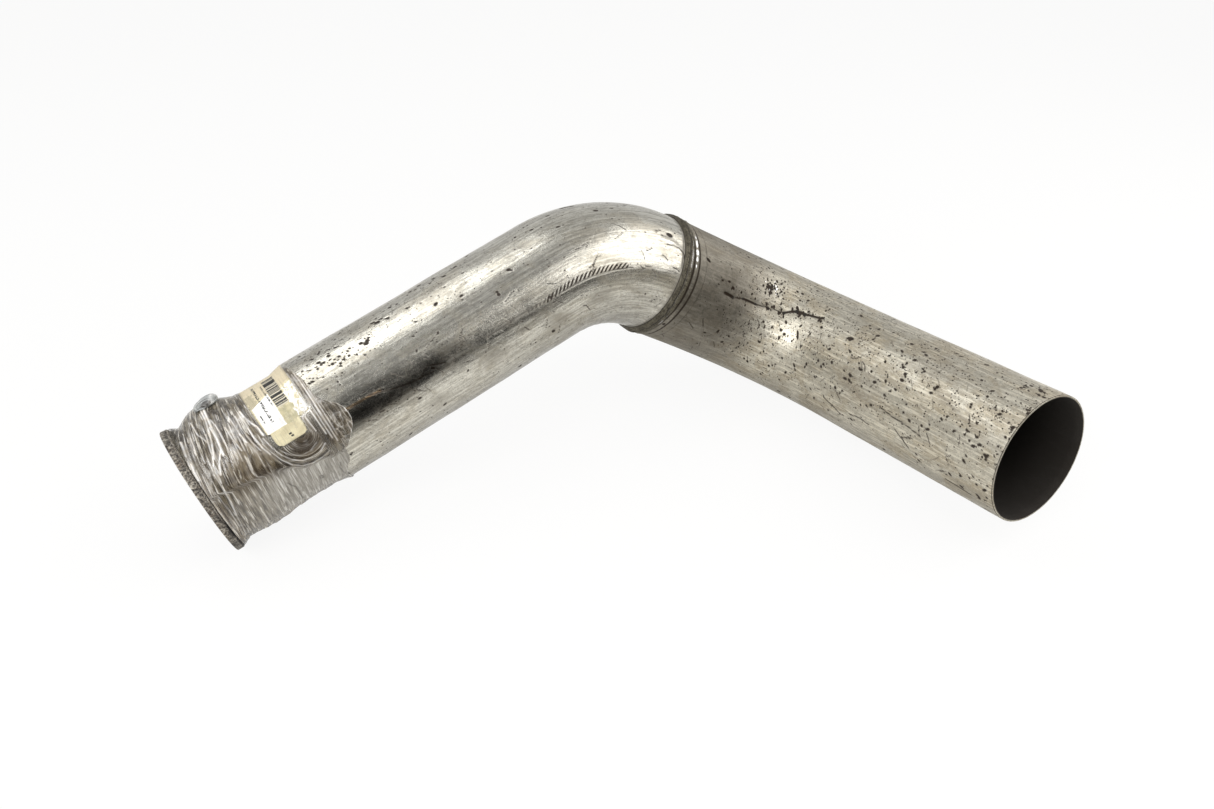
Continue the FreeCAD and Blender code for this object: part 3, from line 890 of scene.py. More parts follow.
def make_bead(name, run, bed, crown, pitch, seed, material):
    """A weld's ring of beads: a crowned band with crescent ripples, a groove along it and a flat underside,
    with a painted highlight up the side that the camera sees and low down.
    run holds its first and last station, bed the radii that it lies on there."""
    turns = np.arange(0, 360, 0.5)
    share = np.linspace(0, 1, 29)
    top = len(share)
    stations = run[0] + (run[1] - run[0]) * share
    base = bed[0] + (bed[1] - bed[0]) * share
    skin = Skin(np.concatenate([stations, stations[::-1][1:-1]]), turns,
                np.concatenate([base + np.sin(np.pi * share) ** 0.6 * crown, base[::-1][1:-1]]))
    skin.reach = float(np.max(base))
    x, y = circle(turns, skin.reach)
    share = share[:, None]
    bow = (share - 0.5) ** 2 * 3.0
    wander = smooth_noise((x / 17.0, y / 17.0, 0.0), seed) * 2.4
    phase = (np.radians(turns) * skin.reach + bow * 2.2 + wander) / pitch
    ripple = np.abs(np.sin(np.pi * phase))
    body = np.sin(np.pi * share)
    lumps = smooth_noise((x / 5.0, y / 5.0, share * 2.0), seed + 1)
    skin.radii[:top] += body * crown * (0.34 * ripple - 0.17 + 0.75 * (lumps - 0.5))
    from_groove = share - (0.44 + 0.12 * smooth_noise((x / 24.0, y / 24.0, 4.0), seed + 3))
    groove = hill(from_groove, 0, 0.075)
    thin = hill(from_groove, -0.28, 0.035) * 0.6
    skin.radii[:top] -= body * crown * (0.55 * groove + 0.25 * thin)
    edge = ramp_up(np.abs(share - 0.5) * 2, 0.80, 0.20)
    skin.layer("toe")[:top] = np.maximum(edge, np.maximum(groove, thin))
    skin.layer("ripple")[:top] = ripple
    # painted highlight up the side that the camera sees, and low down
    wear_and_highlight = 0.12 + (hill(turns, 46, 20) + hill(turns, 112, 9))
    lit = hill(from_groove, 0.24, 0.10) * np.clip(wear_and_highlight, 0, 1) * 1.25
    skin.layer("shine")[:top] = lit * smooth_noise((x / 2.4, y / 2.4, share * 5.0), seed + 5)
    return build_object(name, [skin.patch()], material)


# The film's main folds as (station, turn) lines, with a half width, a height and the strength of the painted
# highlight along each
FILM_FOLDS = [
    ([(36, -30), (35.5, -18), (35, -6), (34, 10), (33, 22), (32, 29), (31, 37)], 0.85, 0.9, 1.0),
    ([(34, -30), (33, -4), (31, 12), (28, 24), (24, 36)], 0.6, 0.6, 0.9),
    ([(33, 8), (33, 15), (33, 25), (32, 31), (26, 40), (22, 50)], 0.6, 0.6, 1.0),
    ([(28, 12), (24, 33), (21, 41), (20, 47), (19, 56)], 0.55, 0.5, 0.9),
    ([(36, 0), (37, 8), (37, 16), (36, 30)], 0.45, 0.5, 0.9),
    ([(10.5, 4), (10, 12), (9, 22), (9, 30), (8, 37), (7.4, 45)], 0.85, 0.7, 1.0),
    ([(23, -12), (23, 7), (25, 14), (26, 20)], 0.45, 0.4, 0.7),
    ([(48, 6), (48, 19), (48, 28), (49, 38)], 0.5, 0.5, 0.8),
    ([(52, 10), (51, 25), (52, 40), (54, 50)], 0.45, 0.4, 0.7),
    ([(56, 14), (55, 27), (55, 35), (56, 49), (58, 57)], 0.55, 0.5, 0.95),
    ([(56.5, 8), (57, 16), (59, 25), (61, 31), (61.5, 40)], 0.6, 0.6, 1.0),
    ([(42, 16), (42, 28), (43, 42)], 0.4, 0.4, 0.7),
    ([(60, 42), (61.5, 53), (64.5, 63), (69, 71), (75, 77), (82, 79), (89, 78), (95, 73)], 0.42, 0.4, 0.6),
    ([(57.5, 46), (59.5, 56), (62.5, 66), (67, 75), (73, 81), (80, 84), (88, 84), (95, 81)], 0.42, 0.4, 0.6),
    ([(64, 52), (66, 60), (70, 67), (76, 72), (83, 73), (90, 69)], 0.35, 0.3, 0.35),
    ([(99, 66), (98.6, 45), (99.3, 25), (99.6, 0)], 0.5, 0.5, 0.95),
    ([(101.2, 72), (101, 55), (101.6, 30), (101.8, 5)], 0.45, 0.4, 0.7),
    ([(103.4, 76), (103.6, 50), (104, 20), (104, -20)], 0.5, 0.45, 0.85),
    ([(105.4, 72), (105.8, 50), (106, 25)], 0.45, 0.4, 0.7),
    ([(94, 60), (93, 46), (96, 38)], 0.4, 0.35, 0.8),
    ([(91, 58), (91, 46), (94, 40)], 0.4, 0.3, 0.6),
    ([(18, 47), (18, 59), (17, 74), (15, 88), (13, 108), (12, 118)], 0.5, 0.6, 0.62),
    ([(7.2, 43), (7, 56), (7, 72), (7, 88), (7.2, 112)], 0.7, 0.5, 0.42),
    ([(12, 60), (13, 80), (12, 100), (10, 116)], 0.45, 0.4, 0.4),
]
FILM_CREASES = [
    [(60, 120), (60.5, 98), (57, 88)], [(7.5, 0), (8.5, -14)], [(96, 118), (95, 104), (97, 98)],
    [(79, 102), (81, 103), (81, 107), (79, 106), (79, 102)], [(40, 62), (41, 54)],
    [(39, -8), (39.5, -22), (39, -40)], [(27, 44), (24, 52), (21, 60)],
    [(9.3, 46), (8.6, 60), (8.4, 80), (8.6, 104)], [(20.5, 58), (19.5, 74), (17.5, 88), (15.5, 108)],
    [(37.4, -10), (36.6, 10), (35.4, 26)], [(31.2, 26), (27, 37), (24, 47)],
    [(62, 31), (63, 42), (64, 50)], [(102.3, 74), (102.2, 50), (102.6, 25)],
    [(97.3, 68), (97, 50)], [(50, 8), (49.5, 24), (51, 40)], [(14.5, 10), (13.5, 28), (12.5, 46)],
]
FILM_DARK = [
    # station, turn, size, strength, stretch, lean
    (25, 58, 3.0, 0.7, 2.0, 0), (38, 60, 2.6, 0.6, 2.0, 0), (34, 70, 5.0, 0.45, 2.2, 0),
    (55, 73, 5.0, 0.5, 2.0, 20), (82, 66, 8.0, 0.95, 1.9, 0), (97, 70, 6.5, 0.85, 1.3, 90),
    (46, 67, 4.6, 0.75, 1.7, 0), (31, 68, 4.0, 0.5, 2.2, 0),
    (96, 60, 6.0, 0.75, 1.2, 90), (105, 66, 5.0, 0.5, 1.2, 90), (16, 118, 3.0, 0.4, 2.0, 60),
    (91, 43, 1.6, 0.8, 1.4, 40), (8.5, -8, 1.8, 0.9, 2.2, 90), (111, 30, 1.4, 0.5, 3.0, 90),
]
# Where the film's smooth lower side begins (stations, turns), and its right edge (turns, stations)
SMOOTH_EDGE = ([14, 20, 39, 56, 66, 74, 89, 96, 107], [62, 64, 66, 70, 75, 82, 84, 86, 84])
BORDER = ([-60, -17, 6, 24, 60, 80, 100, 113, 128, 150],
          [98, 100.5, 105, 108, 108, 107, 104.5, 98.5, 100, 104])
# The strands fan out from this station
FAN_STATION = 84
STRAND_STEP = 1.6


def film_base(stations):
    """Radius that the film lies on: the weld, then the neck, the label and the swage."""
    climb = np.interp(stations, [NECK_END, SWAGE_END], [0, INLET_RADIUS - NECK_RADIUS])
    cover = np.interp(stations, [FILM_START, BEAD_COVER_END], [BEAD_COVER, 0])
    return NECK_RADIUS + GLUE_LINE + LABEL_THICKNESS + FILM_SLACK + climb + cover


def film_flow(stations, turns):
    """A number that stays the same along each strand of the film. The strands run round the
    neck, fan out from the tail, and bend round the label's lower end."""
    arc = np.radians(turns) * NECK_RADIUS
    below = np.maximum(arc - math.radians(57) * NECK_RADIUS, 0)
    reach = np.hypot(stations - FAN_STATION, below)
    near = ramp_down(reach, 32, 8)
    fan = ramp_down(stations, 58, 26) * 0.13 * (np.clip(turns, -60, 62) + 36)
    bent = (stations - FAN_STATION) * (1 - near) - reach * near + fan
    wound = stations - FAN_STATION + 0.05 * arc
    lower = ramp_up(turns, np.interp(stations, *SMOOTH_EDGE), 4)
    lower = lower * lower * (3 - 2 * lower)
    right = ramp_up(stations, 94, 4) * (1 - lower)
    return bent * (1 - lower) * (1 - right) + wound * lower + wound * right


def strand_path(station, turn, length):
    """Places along the strand that passes through a place."""
    places = [(station, turn)]
    per_turn = math.radians(1.0) * NECK_RADIUS
    probe = 0.3
    for _ in range(int(length / STRAND_STEP)):
        here = film_flow(station, turn)
        along = float(film_flow(station + probe, turn) - here) / probe
        across = float(film_flow(station, turn + probe / per_turn) - here) / probe
        size = math.hypot(along, across) + 1e-6
        ahead = 1 if along >= 0 else -1
        station += -across / size * STRAND_STEP * ahead
        turn += along / size * STRAND_STEP / per_turn * ahead
        if not FILM_START + 0.4 < station < FILM_END - 0.4:
            break
        places.append((station, turn))
    return places


def scatter_strands(skin, name, seed, depth, brightness):
    """Short fine folds along the film's flow, each fading at its ends."""
    random = np.random.default_rng(seed)
    for _ in range(330):
        station = random.uniform(FILM_START + 1, FILM_END - 1)
        turn = random.uniform(-60, 150)
        length = random.uniform(4, 17)
        width = random.uniform(0.30, 0.46)
        level = brightness(station, turn) * random.uniform(0.35, 1.0)
        if level < 0.08:
            continue
        places = strand_path(station, turn, length)
        for number, stretch in enumerate(zip(places, places[1:])):
            fade = math.sin(math.pi * (number + 0.5) / len(places)) ** 0.6
            skin.stroke(name, stretch, width, depth, level * fade)


def fold_brightness(station, turn):
    """Where the film's fine folds catch the light."""
    if 60 < station < 99 and turn < 57:
        return 0.10
    top = math.exp(-((turn - 18) / 27) ** 2) * (1.0 if station < 62 else 0.8)
    near_rim = 0.45 * math.exp(-((station - 14) / 9) ** 2) if turn < 120 else 0.0
    arcs = 0.2 * math.exp(-((turn - 72) / 12) ** 2) if 60 < station < 98 else 0.0
    return max(top, near_rim, arcs, 0.16 if turn < 84 else 0.05)


def shade_brightness(station, turn):
    """Where the film's fine folds are dark."""
    if 60 < station < 99 and turn < 57:
        return 0.0
    return 0.85 if turn < 84 else 0.35


def make_film(material):
    stations = even(FILM_START, FILM_END, 0.5)
    skin = Skin(stations, pipe_turns(0.74, 2.2), film_base(stations) + 0.12)
    skin.reach = NECK_RADIUS + 2
    along = skin.along
    about = skin.about
    share = ramp_up(along, BEAD_COVER_END, 60 - BEAD_COVER_END)
    skin.radii += 1.7 * np.sin(np.pi * share) ** 2
    # on top the film is gathered into a heap, which falls off steeply on the far side
    mound = np.interp(along, [13, 18, 24, 30, 36, 42, 47, 52, 58], [0, 3.1, 5.0, 5.6, 5.8, 5.6, 4.6, 2.3, 0])
    skin.radii += mound * hill(about, -40, 27)
    flow = film_flow(along, about) + FAN_STATION
    x, y = circle(skin.turns, NECK_RADIUS)
    crease = ridged(smooth_noise((flow / 4.6, x / 26, y / 26), 71))
    finer = ridged(smooth_noise((flow / 2.1, x / 14, y / 14), 72))
    tight = smooth_noise((flow / 1.1, x / 8, y / 8), 73)

    smooth_side = (ramp_up(about, np.interp(along, *SMOOTH_EDGE), 4) * ramp_down(about, 134, 8)
                   * ramp_up(along, 14.5, 3))
    over_label = ramp_up(along, 61, 3) * ramp_down(along, 101, 3)
    over_label = over_label * (ramp_down(about, 60, 4) * ramp_up(about, -56, 4))
    over_label = over_label * (1 - ramp_up(along, 89, 2) * ramp_up(about, 41, 3))
    arcs = hill(along, 86, 11, 4) * hill(about, 66, 13, 4)
    calm = (1 - 0.80 * smooth_side) * (1 - 0.75 * over_label) * (1 - 0.8 * arcs)
    ease = ramp_up(along, FILM_START, 1.5) * ramp_down(along, FILM_END, 1.5)
    skin.radii += (0.46 * crease ** 3 + 0.30 * finer ** 3 + 0.2 * tight) * ease * calm
    # painted highlight along the ridges of the folds, on the lit upper side
    lit = hill(about, 22, 38)
    skin.paint("fold", np.clip((0.30 * crease ** 18 + 0.22 * finer ** 18) * lit, 0, 1) * calm)
    # each of the main folds is raised and painted with a highlight along it
    for places, width, height, level in FILM_FOLDS:
        broken = 0.55 + 0.45 * math.sin(places[0][0] * 7.0)
        for number, stretch in enumerate(zip(places, places[1:])):
            wave = level * (0.78 + 0.22 * math.sin(number * 2.1 + broken * 6))
            skin.stroke("fold", stretch, width, -height * 0.7, wave)
    for places in FILM_CREASES:
        skin.stroke("shade", places, 0.5, 0.25, 0.85)
    scatter_strands(skin, "shade", 76, 0.16, shade_brightness)
    scatter_strands(skin, "fold", 75, -0.22, fold_brightness)
    for station, turn, size, strength, stretch, lean in FILM_DARK:
        skin.spot("shade", station, turn, size, 0.0, strength, stretch, lean)

    # how milky the film is, and how much film there is up to its right edge
    border = np.interp(about, *BORDER) + 1.6 * (smooth_noise((about / 7.0, 0.0, 0.0), 77) - 0.5)
    present = ramp_down(along, border, 0.9)
    veil = 0.88 - 0.80 * over_label + 0.06 * smooth_side
    veil -= 0.18 * ramp_up(along, 92, 10) * (1 - over_label)
    veil *= 1 - 0.7 * (ramp_down(along, 11.5, 2) * hill(about, -2, 32, 4))
    skin.layers["veil"] = veil * present - 0.25 * (1 - present)
    skin.layers["flow"] = flow
    skin.layers["fold"] *= present
    skin.paint("pale", smooth_side * np.interp(along, [15, 32, 52], [0.22, 0.40, 0.95]))
    skin.paint("brown", hill(skin.turns, 137, 12) * hill(along, 45, 19))
    skin.paint("brown", 0.8 * (ramp_up(along, 98, 4) * ramp_down(np.abs(about), 84, 8)))
    skin.paint("brown", 0.75 * (hill(along, 8, 2.6) * ramp_up(about, 34, 20) * (about < 125)))
    skin.paint("brown", 0.9 * arcs)
    skin.paint("brown", 0.75 * (hill(along, 40, 20, 4) * hill(about, 52, 24, 4)))
    rest = film_base(along) + 0.02
    skin.radii[:] = rest + (skin.radii - rest) * np.clip(present + 0.04, 0, 1)

    inner = np.array([FILM_END, 104, SWAGE_END, 94, NECK_END, 76, 64, 52, 40, 28, 18, BEAD_COVER_END, 9,
                      FILM_START])
    under = np.repeat(film_base(inner)[:, None], len(skin.turns), 1)
    whole = Skin(np.concatenate([stations, inner]), skin.turns, np.concatenate([skin.radii, under]))
    for name, layer in skin.layers.items():
        whole.layer(name)[:len(stations)] = layer
    return build_object("film_wrap", [whole.patch(), flap_patch(), tail_patch()], material)


def both_sides(top, underside):
    """One table for a thin sheet: down its top and back along its underside."""
    return np.concatenate([top, underside[::-1]])


def curved_sheet(stations, turns, radii):
    """Points and faces of a thin sheet on the first straight. radii are its top's and underside's."""
    _, travels, ups = pipe_frames([0.0])
    angle = np.radians(turns)[:, None]
    outward = ups[0] * np.cos(angle) + np.cross(travels[0], ups[0]) * np.sin(angle)
    points = [(travels[0] * stations[:, :, None] + outward * radius[:, :, None]) * MM for radius in radii]
    rows, columns = stations.shape
    row = np.arange(rows - 1)
    quads = np.stack([row, row + 1, 2 * rows - 2 - row, 2 * rows - 1 - row], -1) * columns
    faces = np.concatenate([grid_faces(2 * rows, columns, wrap_columns=False), quads,
                            (quads + columns - 1)[:, ::-1]])
    return both_sides(*points), faces


def flap_patch():
    """The film's loose end, which lies on the tube past the rest."""
    turns = np.linspace(34, 86, 84)
    share = np.linspace(0, 1, 48)[:, None]
    edge = np.interp(turns, [34, 40, 45, 50, 55, 60, 66, 72, 78, 86],
                     [107.5, 110, 113.5, 118, 120.3, 121, 120.8, 118.5, 114, 107.5])
    near = 105.0
    stations = near + (edge - near) * share
    crease = ridged(smooth_noise((stations / 7.0, turns / 3.0, 5.0), 82))
    thin = ridged(smooth_noise((stations / 2.6, turns / 9.0, 3.0), 83))
    lift = 0.3 + 0.35 * smooth_noise((stations / 3.0, turns / 6.0, 0.0), 81) + 0.45 * crease ** 3
    radii = [INLET_RADIUS + lift, INLET_RADIUS + np.full(lift.shape, 0.05)]
    points, faces = curved_sheet(stations, turns, radii)
    straight = both_sides(*[np.stack([stations, *circle(turns, radius)], -1) for radius in radii])
    bare = np.zeros(lift.shape)
    rim = ramp_up(share, 0.93, 0.07) + bare
    layers = {
        # painted highlights along the flap's ridges and its far edge
        "fold": both_sides(np.clip(0.35 * crease ** 8 + 0.55 * thin ** 12 + 0.45 * rim, 0, 1), bare),
        "shade": both_sides(np.clip(0.95 * (1 - thin) ** 2, 0, 1), bare),
        "brown": both_sides(0.8 * (1 - rim), bare),
        "veil": both_sides(0.50 + 0.3 * rim, bare + 0.3),
        "flow": np.concatenate([stations, stations])}
    return points, faces, straight, layers


TAIL_MIDDLE = 39.0
TAIL_TURN = -24.0
TAIL_SIZE = (10.2, 8.6, 5.0)


def tail_patch():
    """The film's gathered tail: a flattened pouch on top, behind the flange."""
    rows = 64
    columns = 80
    latitude = np.linspace(0.001, math.pi - 0.001, rows)[:, None]
    longitude = np.linspace(0, 2 * math.pi, columns, endpoint=False)[None, :]
    across = np.sin(latitude) * np.cos(longitude)
    height = np.sin(latitude) * np.sin(longitude)
    along = np.cos(latitude) * np.ones(longitude.shape)
    folds = ridged(smooth_noise((along * 1.6 + 7, across * 4.5 + 9 + along, height * 2 + 5), 91))
    size = 0.88 + 0.12 * folds ** 2
    length, width, tall = TAIL_SIZE
    seat = NECK_RADIUS + 7.3
    centres, travels, ups = pipe_frames([TAIL_MIDDLE])
    lean = math.radians(TAIL_TURN)
    outward = ups[0] * math.cos(lean) + np.cross(travels[0], ups[0]) * math.sin(lean)
    sideways = np.cross(travels[0], outward)
    droop = -0.22 * along
    swell = 1.0 + 0.18 * along
    points = (centres[0]
              + travels[0] * (along * length * size)[..., None]
              + sideways * ((across * swell + droop) * width * size)[..., None]
              + outward * (seat + np.maximum(height * swell, -0.7) * tall * size)[..., None]) * MM
    straight = np.stack([along * length + TAIL_MIDDLE, across * width, height * tall + 60], -1)
    # its lip: two dark slits low on the side towards the camera, and shade beneath on that side; painted
    # highlights on its folds, and a cream edge at its right end drawn in the same layer
    slit = hill(across - 0.62, 0.1 * along, 0.07) * hill(along, -0.1, 0.55, 4)
    under = np.clip((across - 0.88 + 0.2 * height) / 0.08, 0, 1)
    cream = hill(along - 0.72, -0.25 * across, 0.13) * (height > -0.2)
    full = np.ones(along.shape)
    layers = {"veil": full * 0.92, "fold": folds ** 10 * 0.25 + 0.35 * cream, "pale": full,
              "shade": np.clip(slit + under, 0, 1) * 0.95, "cool": full, "flow": across * width + 40}
    return points, grid_faces(rows, columns, wrap_rows=False)[:, ::-1], straight, layers


def film_finish():
    """Clear film in many turns over dark metal, with painted highlights and dark shade along its creases."""
    film = Shader("clear_film")
    place = film.place()
    fold, veil, shade, brown, pale, cool, flow = map(
        film.layer, ("fold", "veil", "shade", "brown", "pale", "cool", "flow"))
    _, level, height = place.split()
    strand = film.add("CombineXYZ", {0: flow, 1: level, 2: height})
    lines = strand.noise(0.62, 0.050, 3.0, 0.62, 0.25)
    hairs = strand.noise(0.95, 0.055, 2.0, 0.5, 0.25)
    spread = place.noise(0.12, 0.07, 3.0, 0.6)
    patches = place.noise(0.30, 0.22, 3.0, 0.6)
    # light hairlines in the tones below are painted glints along the film's fine wrinkles
    smooth = film.layered((0.28, 0.262, 0.225), [
        (lines.fit(0.38, 0.62), (0.43, 0.412, 0.37)),
        (hairs.fit(0.575, 0.625, 0.0, 0.6), (0.66, 0.645, 0.61)),
        (cool, (0.33, 0.345, 0.34))])
    umber = film.layered((0.085, 0.062, 0.036), [
        (lines.fit(0.38, 0.62), (0.26, 0.205, 0.135)),
        (hairs.fit(0.595, 0.635, 0.0, 0.8), (0.62, 0.58, 0.50))])
    # the colour of the painted highlights along the folds
    tint = film.mix(patches.fit(0.35, 0.6), (0.93, 0.86, 0.76), (0.93, 0.925, 0.91))
    tone = film.layered((0.105, 0.085, 0.054), [
        (spread.fit(0.38, 0.62), (0.190, 0.160, 0.112)),
        (patches.fit(0.50, 0.64, 0.0, 0.5), (0.26, 0.236, 0.185)),
        (lines.fit(0.40, 0.50, 0.9, 0.0), (0.034, 0.026, 0.018)),
        (lines.fit(0.57, 0.63, 0.0, 0.45), (0.32, 0.295, 0.245)),
        (hairs.fit(0.605, 0.645, 0.0, 0.8), (0.66, 0.63, 0.57)),
        (hairs.fit(0.37, 0.41, 0.85, 0.0), (0.024, 0.018, 0.012)),
        (pale * 0.92, smooth),
        (brown * 0.75, umber),
        (shade * 0.9, (0.036, 0.027, 0.020)),
        (fold, tint)])
    alpha = veil + hairs.fit(0.45, 0.75, -0.06, 0.12) + fold * 0.45
    return film.finish({
        "Base Color": tone,
        "Roughness": lines.fit(0.3, 0.7, 0.16, 0.34),
        "Alpha": alpha.clamped(),
        "Specular IOR Level": 0.6,
        "Coat Weight": 0.25,
        "Coat Roughness": 0.08,
        "Normal": film.bumped([(lines, 0.5, 0.0006), (hairs, 0.5, 0.0003)])})


LABEL_EDGE_TURNS = [-53, -20, 5, 35, 41.5, 42.5, 52, 55, 57]
LABEL_LEFT_EDGE = [62.2, 62.3, 62.6, 63, 63.4, 65.6, 65.6, 66.6, 69.5]
LABEL_RIGHT_EDGE = [99.6, 99.5, 99.4, 99.2, 98.9, 90.2, 90.0, 89.2, 86.5]


def make_label(material):
    """The paper label round the neck, cut with rounded corners, as a thin curved sheet."""
    turns = np.unique(np.concatenate([
        np.linspace(LABEL_EDGE_TURNS[0], LABEL_EDGE_TURNS[-1], 170), np.linspace(41, 43, 9),
        np.linspace(54, 57, 12)]))
    left = np.interp(turns, LABEL_EDGE_TURNS, LABEL_LEFT_EDGE)
    right = np.interp(turns, LABEL_EDGE_TURNS, LABEL_RIGHT_EDGE)
    stations = left + (right - left) * np.linspace(0, 1, 64)[:, None]
    bed = film_base(stations) - FILM_SLACK - LABEL_THICKNESS - GLUE_LINE
    points, faces = curved_sheet(
        stations, turns, [bed + (GLUE_LINE + LABEL_THICKNESS), bed + GLUE_LINE])
    flat = np.stack(np.broadcast_arrays(stations, turns, 0.0), -1)
    return build_object("label_sheet", [(points, faces, both_sides(flat, flat), {})], material)


def label_finish():
    """Cream paper with a white field, an olive patch, a block of bars and plain dashes. Its
    straight places are stations and turns."""
    paper = Shader("label_paper")
    place = paper.place()
    station, turn, _ = place.split()
    sway = place.noise(0.30, 0.22, 3.0, 0.6) - 0.5
    exact = (station, turn)
    loose = (station + sway * 7.0, turn - sway * 12.0)

    def field(stations, turns, edges=exact):
        """1 inside a rectangle of stations and turns, its edges wavering if they are loose."""
        along, across = edges
        return (along > stations[0]) * (along < stations[1]) * (across > turns[0]) * (across < turns[1])

    wear_and_highlight = place.noise(0.12, 0.12, 4.0, 0.6)
    panel = field((64.2, 79.8), (3, 42)) * (turn + station * 0.5 > 45.0)
    patch = field((79.8, 91), (26, 43), loose) * sway.fit(-0.12, 0.10, 1.0, 0.45)
    flecks = place.noise(0.32, 0.22, 3.0, 0.6, 0.8)
    glare = field((90.2, 98.8), (8, 41), loose) * flecks.fit(0.42, 0.47)
    block = field((80.3, 89.7), (-19, 25))
    bars = (place.noise(0.0, 0.60, 0.0) > 0.465) * block
    marks = field((66.4, 67.3), (22, 32)).either(field((71.2, 73.2), (-18, 34)))
    marks = marks.either(field((77.8, 79.0), (-12, 20))) * place.noise(0.5, 0.75, 0.0).fit(0.46, 0.50)
    marks = marks.either(field((76.9, 79.0), (49.8, 51.4))).either(field((77.5, 79.6), (52.2, 53.8)))
    tone = paper.layered((0.76, 0.69, 0.46), [
        (wear_and_highlight.fit(0.35, 0.65), (0.60, 0.53, 0.34)),
        (field((60, 100), (-60, 5)), (0.62, 0.54, 0.38)),
        (field((63.5, 70), (-6, 13), loose), (0.44, 0.39, 0.27)),
        (panel, (0.93, 0.92, 0.90)),
        (patch, (0.46, 0.42, 0.26)),
        (glare, (0.93, 0.92, 0.89)),
        (block, (0.64, 0.59, 0.46)),
        (bars, (0.015, 0.014, 0.012)),
        (marks, (0.03, 0.03, 0.026))])
    return paper.finish({
        "Base Color": tone,
        "Roughness": wear_and_highlight.fit(0.3, 0.7, 0.45, 0.7),
        "Normal": paper.bumped([(wear_and_highlight, 0.2, 0.0004)])})


# How much of the white floor the metal and the film show, besides the light that falls on it
FLOOR_IN_METAL = 0.45
FLOOR_TO_CAMERA = 0.90
FLOOR_CORNERS = [(-6.0, 3.55), (6.0, -4.20), (6.0, 6.0), (-6.0, 6.0)]


def make_floor():
    """A plain pale sheet at the level that the pipe lies on. Its front edge is out of the picture."""
    level = cad_box[0][2]
    mesh = bpy.data.meshes.new("floor")
    mesh.from_pydata([(x, y, level) for x, y in FLOOR_CORNERS], [], [(0, 1, 2, 3)])
    floor = add_object("floor", mesh)
    pale = Shader("pale_floor")
    mesh.materials.append(pale.finish({"Base Color": (0.80, 0.785, 0.75), "Roughness": 0.9}))
    seen = pale.add("LightPath", {}, "Is Camera Ray")
    bounced = seen.beside("Is Glossy Ray").either(seen.beside("Is Transmission Ray"))
    share = (seen * FLOOR_TO_CAMERA).either(bounced * FLOOR_IN_METAL)
    white = pale.add("Emission", {"Color": (1, 1, 1)})
    mixed = pale.add("MixShader", {0: share, 1: Value(pale, pale.base.outputs[0]), 2: white})
    pale.connect(pale.tree.nodes["Material Output"], {"Surface": mixed})


# Light of the surroundings by height (sine of the elevation), and where they are dark
WORLD_LEVELS = [(0.0, 0.62), (0.25, 0.68), (0.6, 0.66), (1.0, 0.62)]
DARK_TOWARDS = (0.070, -0.967, 0.245)
DARK_SHARES = [(0.0, 0.0), (0.2, 0.0), (0.5, 0.22), (0.64, 0.33), (0.80, 0.42), (0.90, 0.74),
               (0.96, 0.95), (1.0, 0.97)]


def light_world():
    """Soft studio surroundings: white to the camera, even all round, dark in front."""
    world = bpy.data.worlds.new("studio")
    bpy.context.scene.world = world
    world.use_nodes = True
    nodes = Nodes(world.node_tree)
    facing = nodes.add("TexCoord", {}, "Generated")
    _, _, height = facing.split()
    ahead = nodes.add("VectorMath", {0: facing, 1: DARK_TOWARDS}, "Value", operation="DOT_PRODUCT")
    room = nodes.mix(nodes.ramp(ahead, DARK_SHARES), nodes.ramp(height, WORLD_LEVELS), (0, 0, 0))
    seen = nodes.add("LightPath", {}, "Is Camera Ray")
    nodes.connect(world.node_tree.nodes["Background"],
                  {"Color": nodes.mix(seen, room, (1, 1, 1)), "Strength": 1.0})


# Name, place, target, width, height, power and warmth
LAMPS = [
    ("right_box", (0.97, -0.56, 0.64), (0.38, -0.03, 0.08), 1.45, 0.85, 7.9, 0.02),
    ("back_box", (-0.07, 0.46, 1.18), (0.13, 0.0, 0.08), 0.6, 0.8, 4.1, 0.0),
    ("left_box", (-1.0, -0.6, 1.0), (0.2, -0.05, 0.0), 0.9, 0.9, 18.0, 0.0),
]


def area_lamp(name, place, target, width, height, power, warmth):
    lamp = bpy.data.lights.new(name, "AREA")
    lamp.shape = "RECTANGLE"
    lamp.size = width
    lamp.size_y = height
    lamp.energy = power
    lamp.color = grey(1.0, warmth)
    aim = Vector(target) - Vector(place)
    turn = aim.to_track_quat("-Z", "Y").to_matrix().to_4x4()
    add_object(name, lamp).matrix_world = Matrix.Translation(place) @ turn


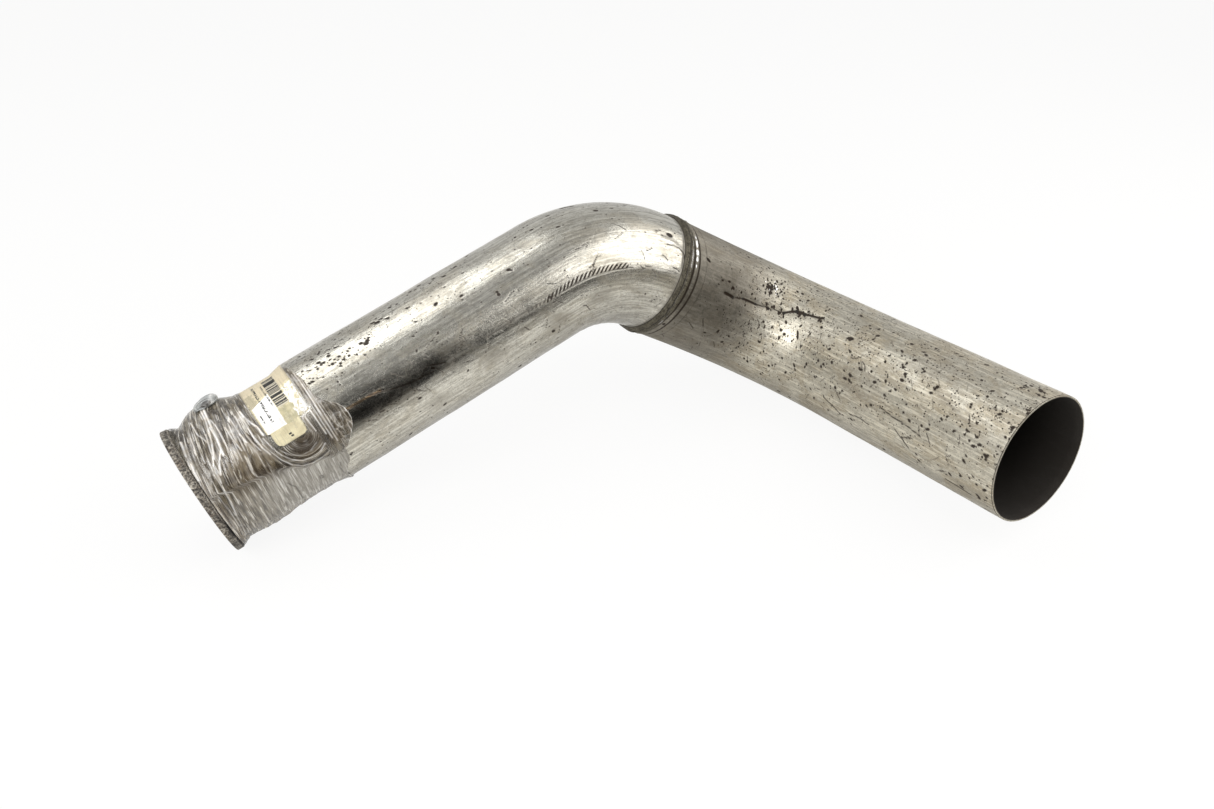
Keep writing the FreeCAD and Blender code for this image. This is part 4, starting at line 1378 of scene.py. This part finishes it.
def make_camera():
    """The camera where the photograph was taken from, worked out from the pipe's outline."""
    image_width = 1214
    focal_pixels = 1093.4
    sensor = 36.0
    place = Vector((-0.09057, -0.69875, 0.52769))
    right = Vector((0.83978, -0.54290, 0.00607))
    up = Vector((0.30740, 0.48465, 0.81891))
    data = bpy.data.cameras.new("photo_camera")
    data.sensor_width = sensor
    data.lens = sensor * focal_pixels / image_width
    data.clip_start = 0.01
    camera = add_object("photo_camera", data)
    right.normalize()
    back = right.cross(up).normalized()
    up = back.cross(right)
    turn = Matrix((right, up, back)).transposed()
    camera.matrix_world = Matrix.Translation(place) @ turn.to_4x4()
    bpy.context.scene.camera = camera


def make_pieces():
    inlet_steel = tube_steel("inlet_steel", 0.64, 0.24, 0.40, 0.35, (1.03, 1.0, 0.89))
    outlet_steel = tube_steel("outlet_steel", 0.54, 0.44, 0.42, 0.50, (1.06, 1.0, 0.84))
    # the second argument of each weld finish is the colour of its painted highlight
    flange_metal = weld_finish("flange_weld_metal", grey(0.36, 0.06), 0.8)
    lap_metal = weld_finish("lap_weld_metal", grey(0.33, 0.04), 0.7)
    flange_run = (FLANGE_BACK, FLANGE_BACK + FLANGE_BEAD_LENGTH)
    flange_bed = (NECK_RADIUS + FLANGE_BEAD_HEIGHT - 0.4, NECK_RADIUS)
    lap_run = (WELD_STATION - LAP_BEAD_FRONT, WELD_STATION + LAP_BEAD_BACK)
    lap_bed = (INLET_RADIUS, OUTLET_RADIUS)
    for piece, node, slot in (
            (make_inlet_tube(inlet_steel), "inlet_tube", "tube_steel"),
            (make_outlet_tube(outlet_steel), "outlet_tube", "tube_steel"),
            (make_flange(flange_finish()), "turbo_flange", "flange_steel"),
            (make_bead("flange_weld", flange_run, flange_bed, FLANGE_BEAD_RISE, 2.2, 51, flange_metal),
             "flange_weld_bead", "weld_metal"),
            (make_bead("lap_weld", lap_run, lap_bed, LAP_BEAD_RISE, 1.9, 61, lap_metal),
             "lap_weld_bead", "weld_metal"),
            (make_label(label_finish()), "paper_label", "label_paper"),
            (make_film(film_finish()), "stretch_film", "clear_film")):
        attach(piece, "root")
        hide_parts(node)


make_camera()
make_floor()
light_world()
for lamp in LAMPS:
    area_lamp(*lamp)
make_pieces()
bpy.context.scene.view_settings.view_transform = "Standard"
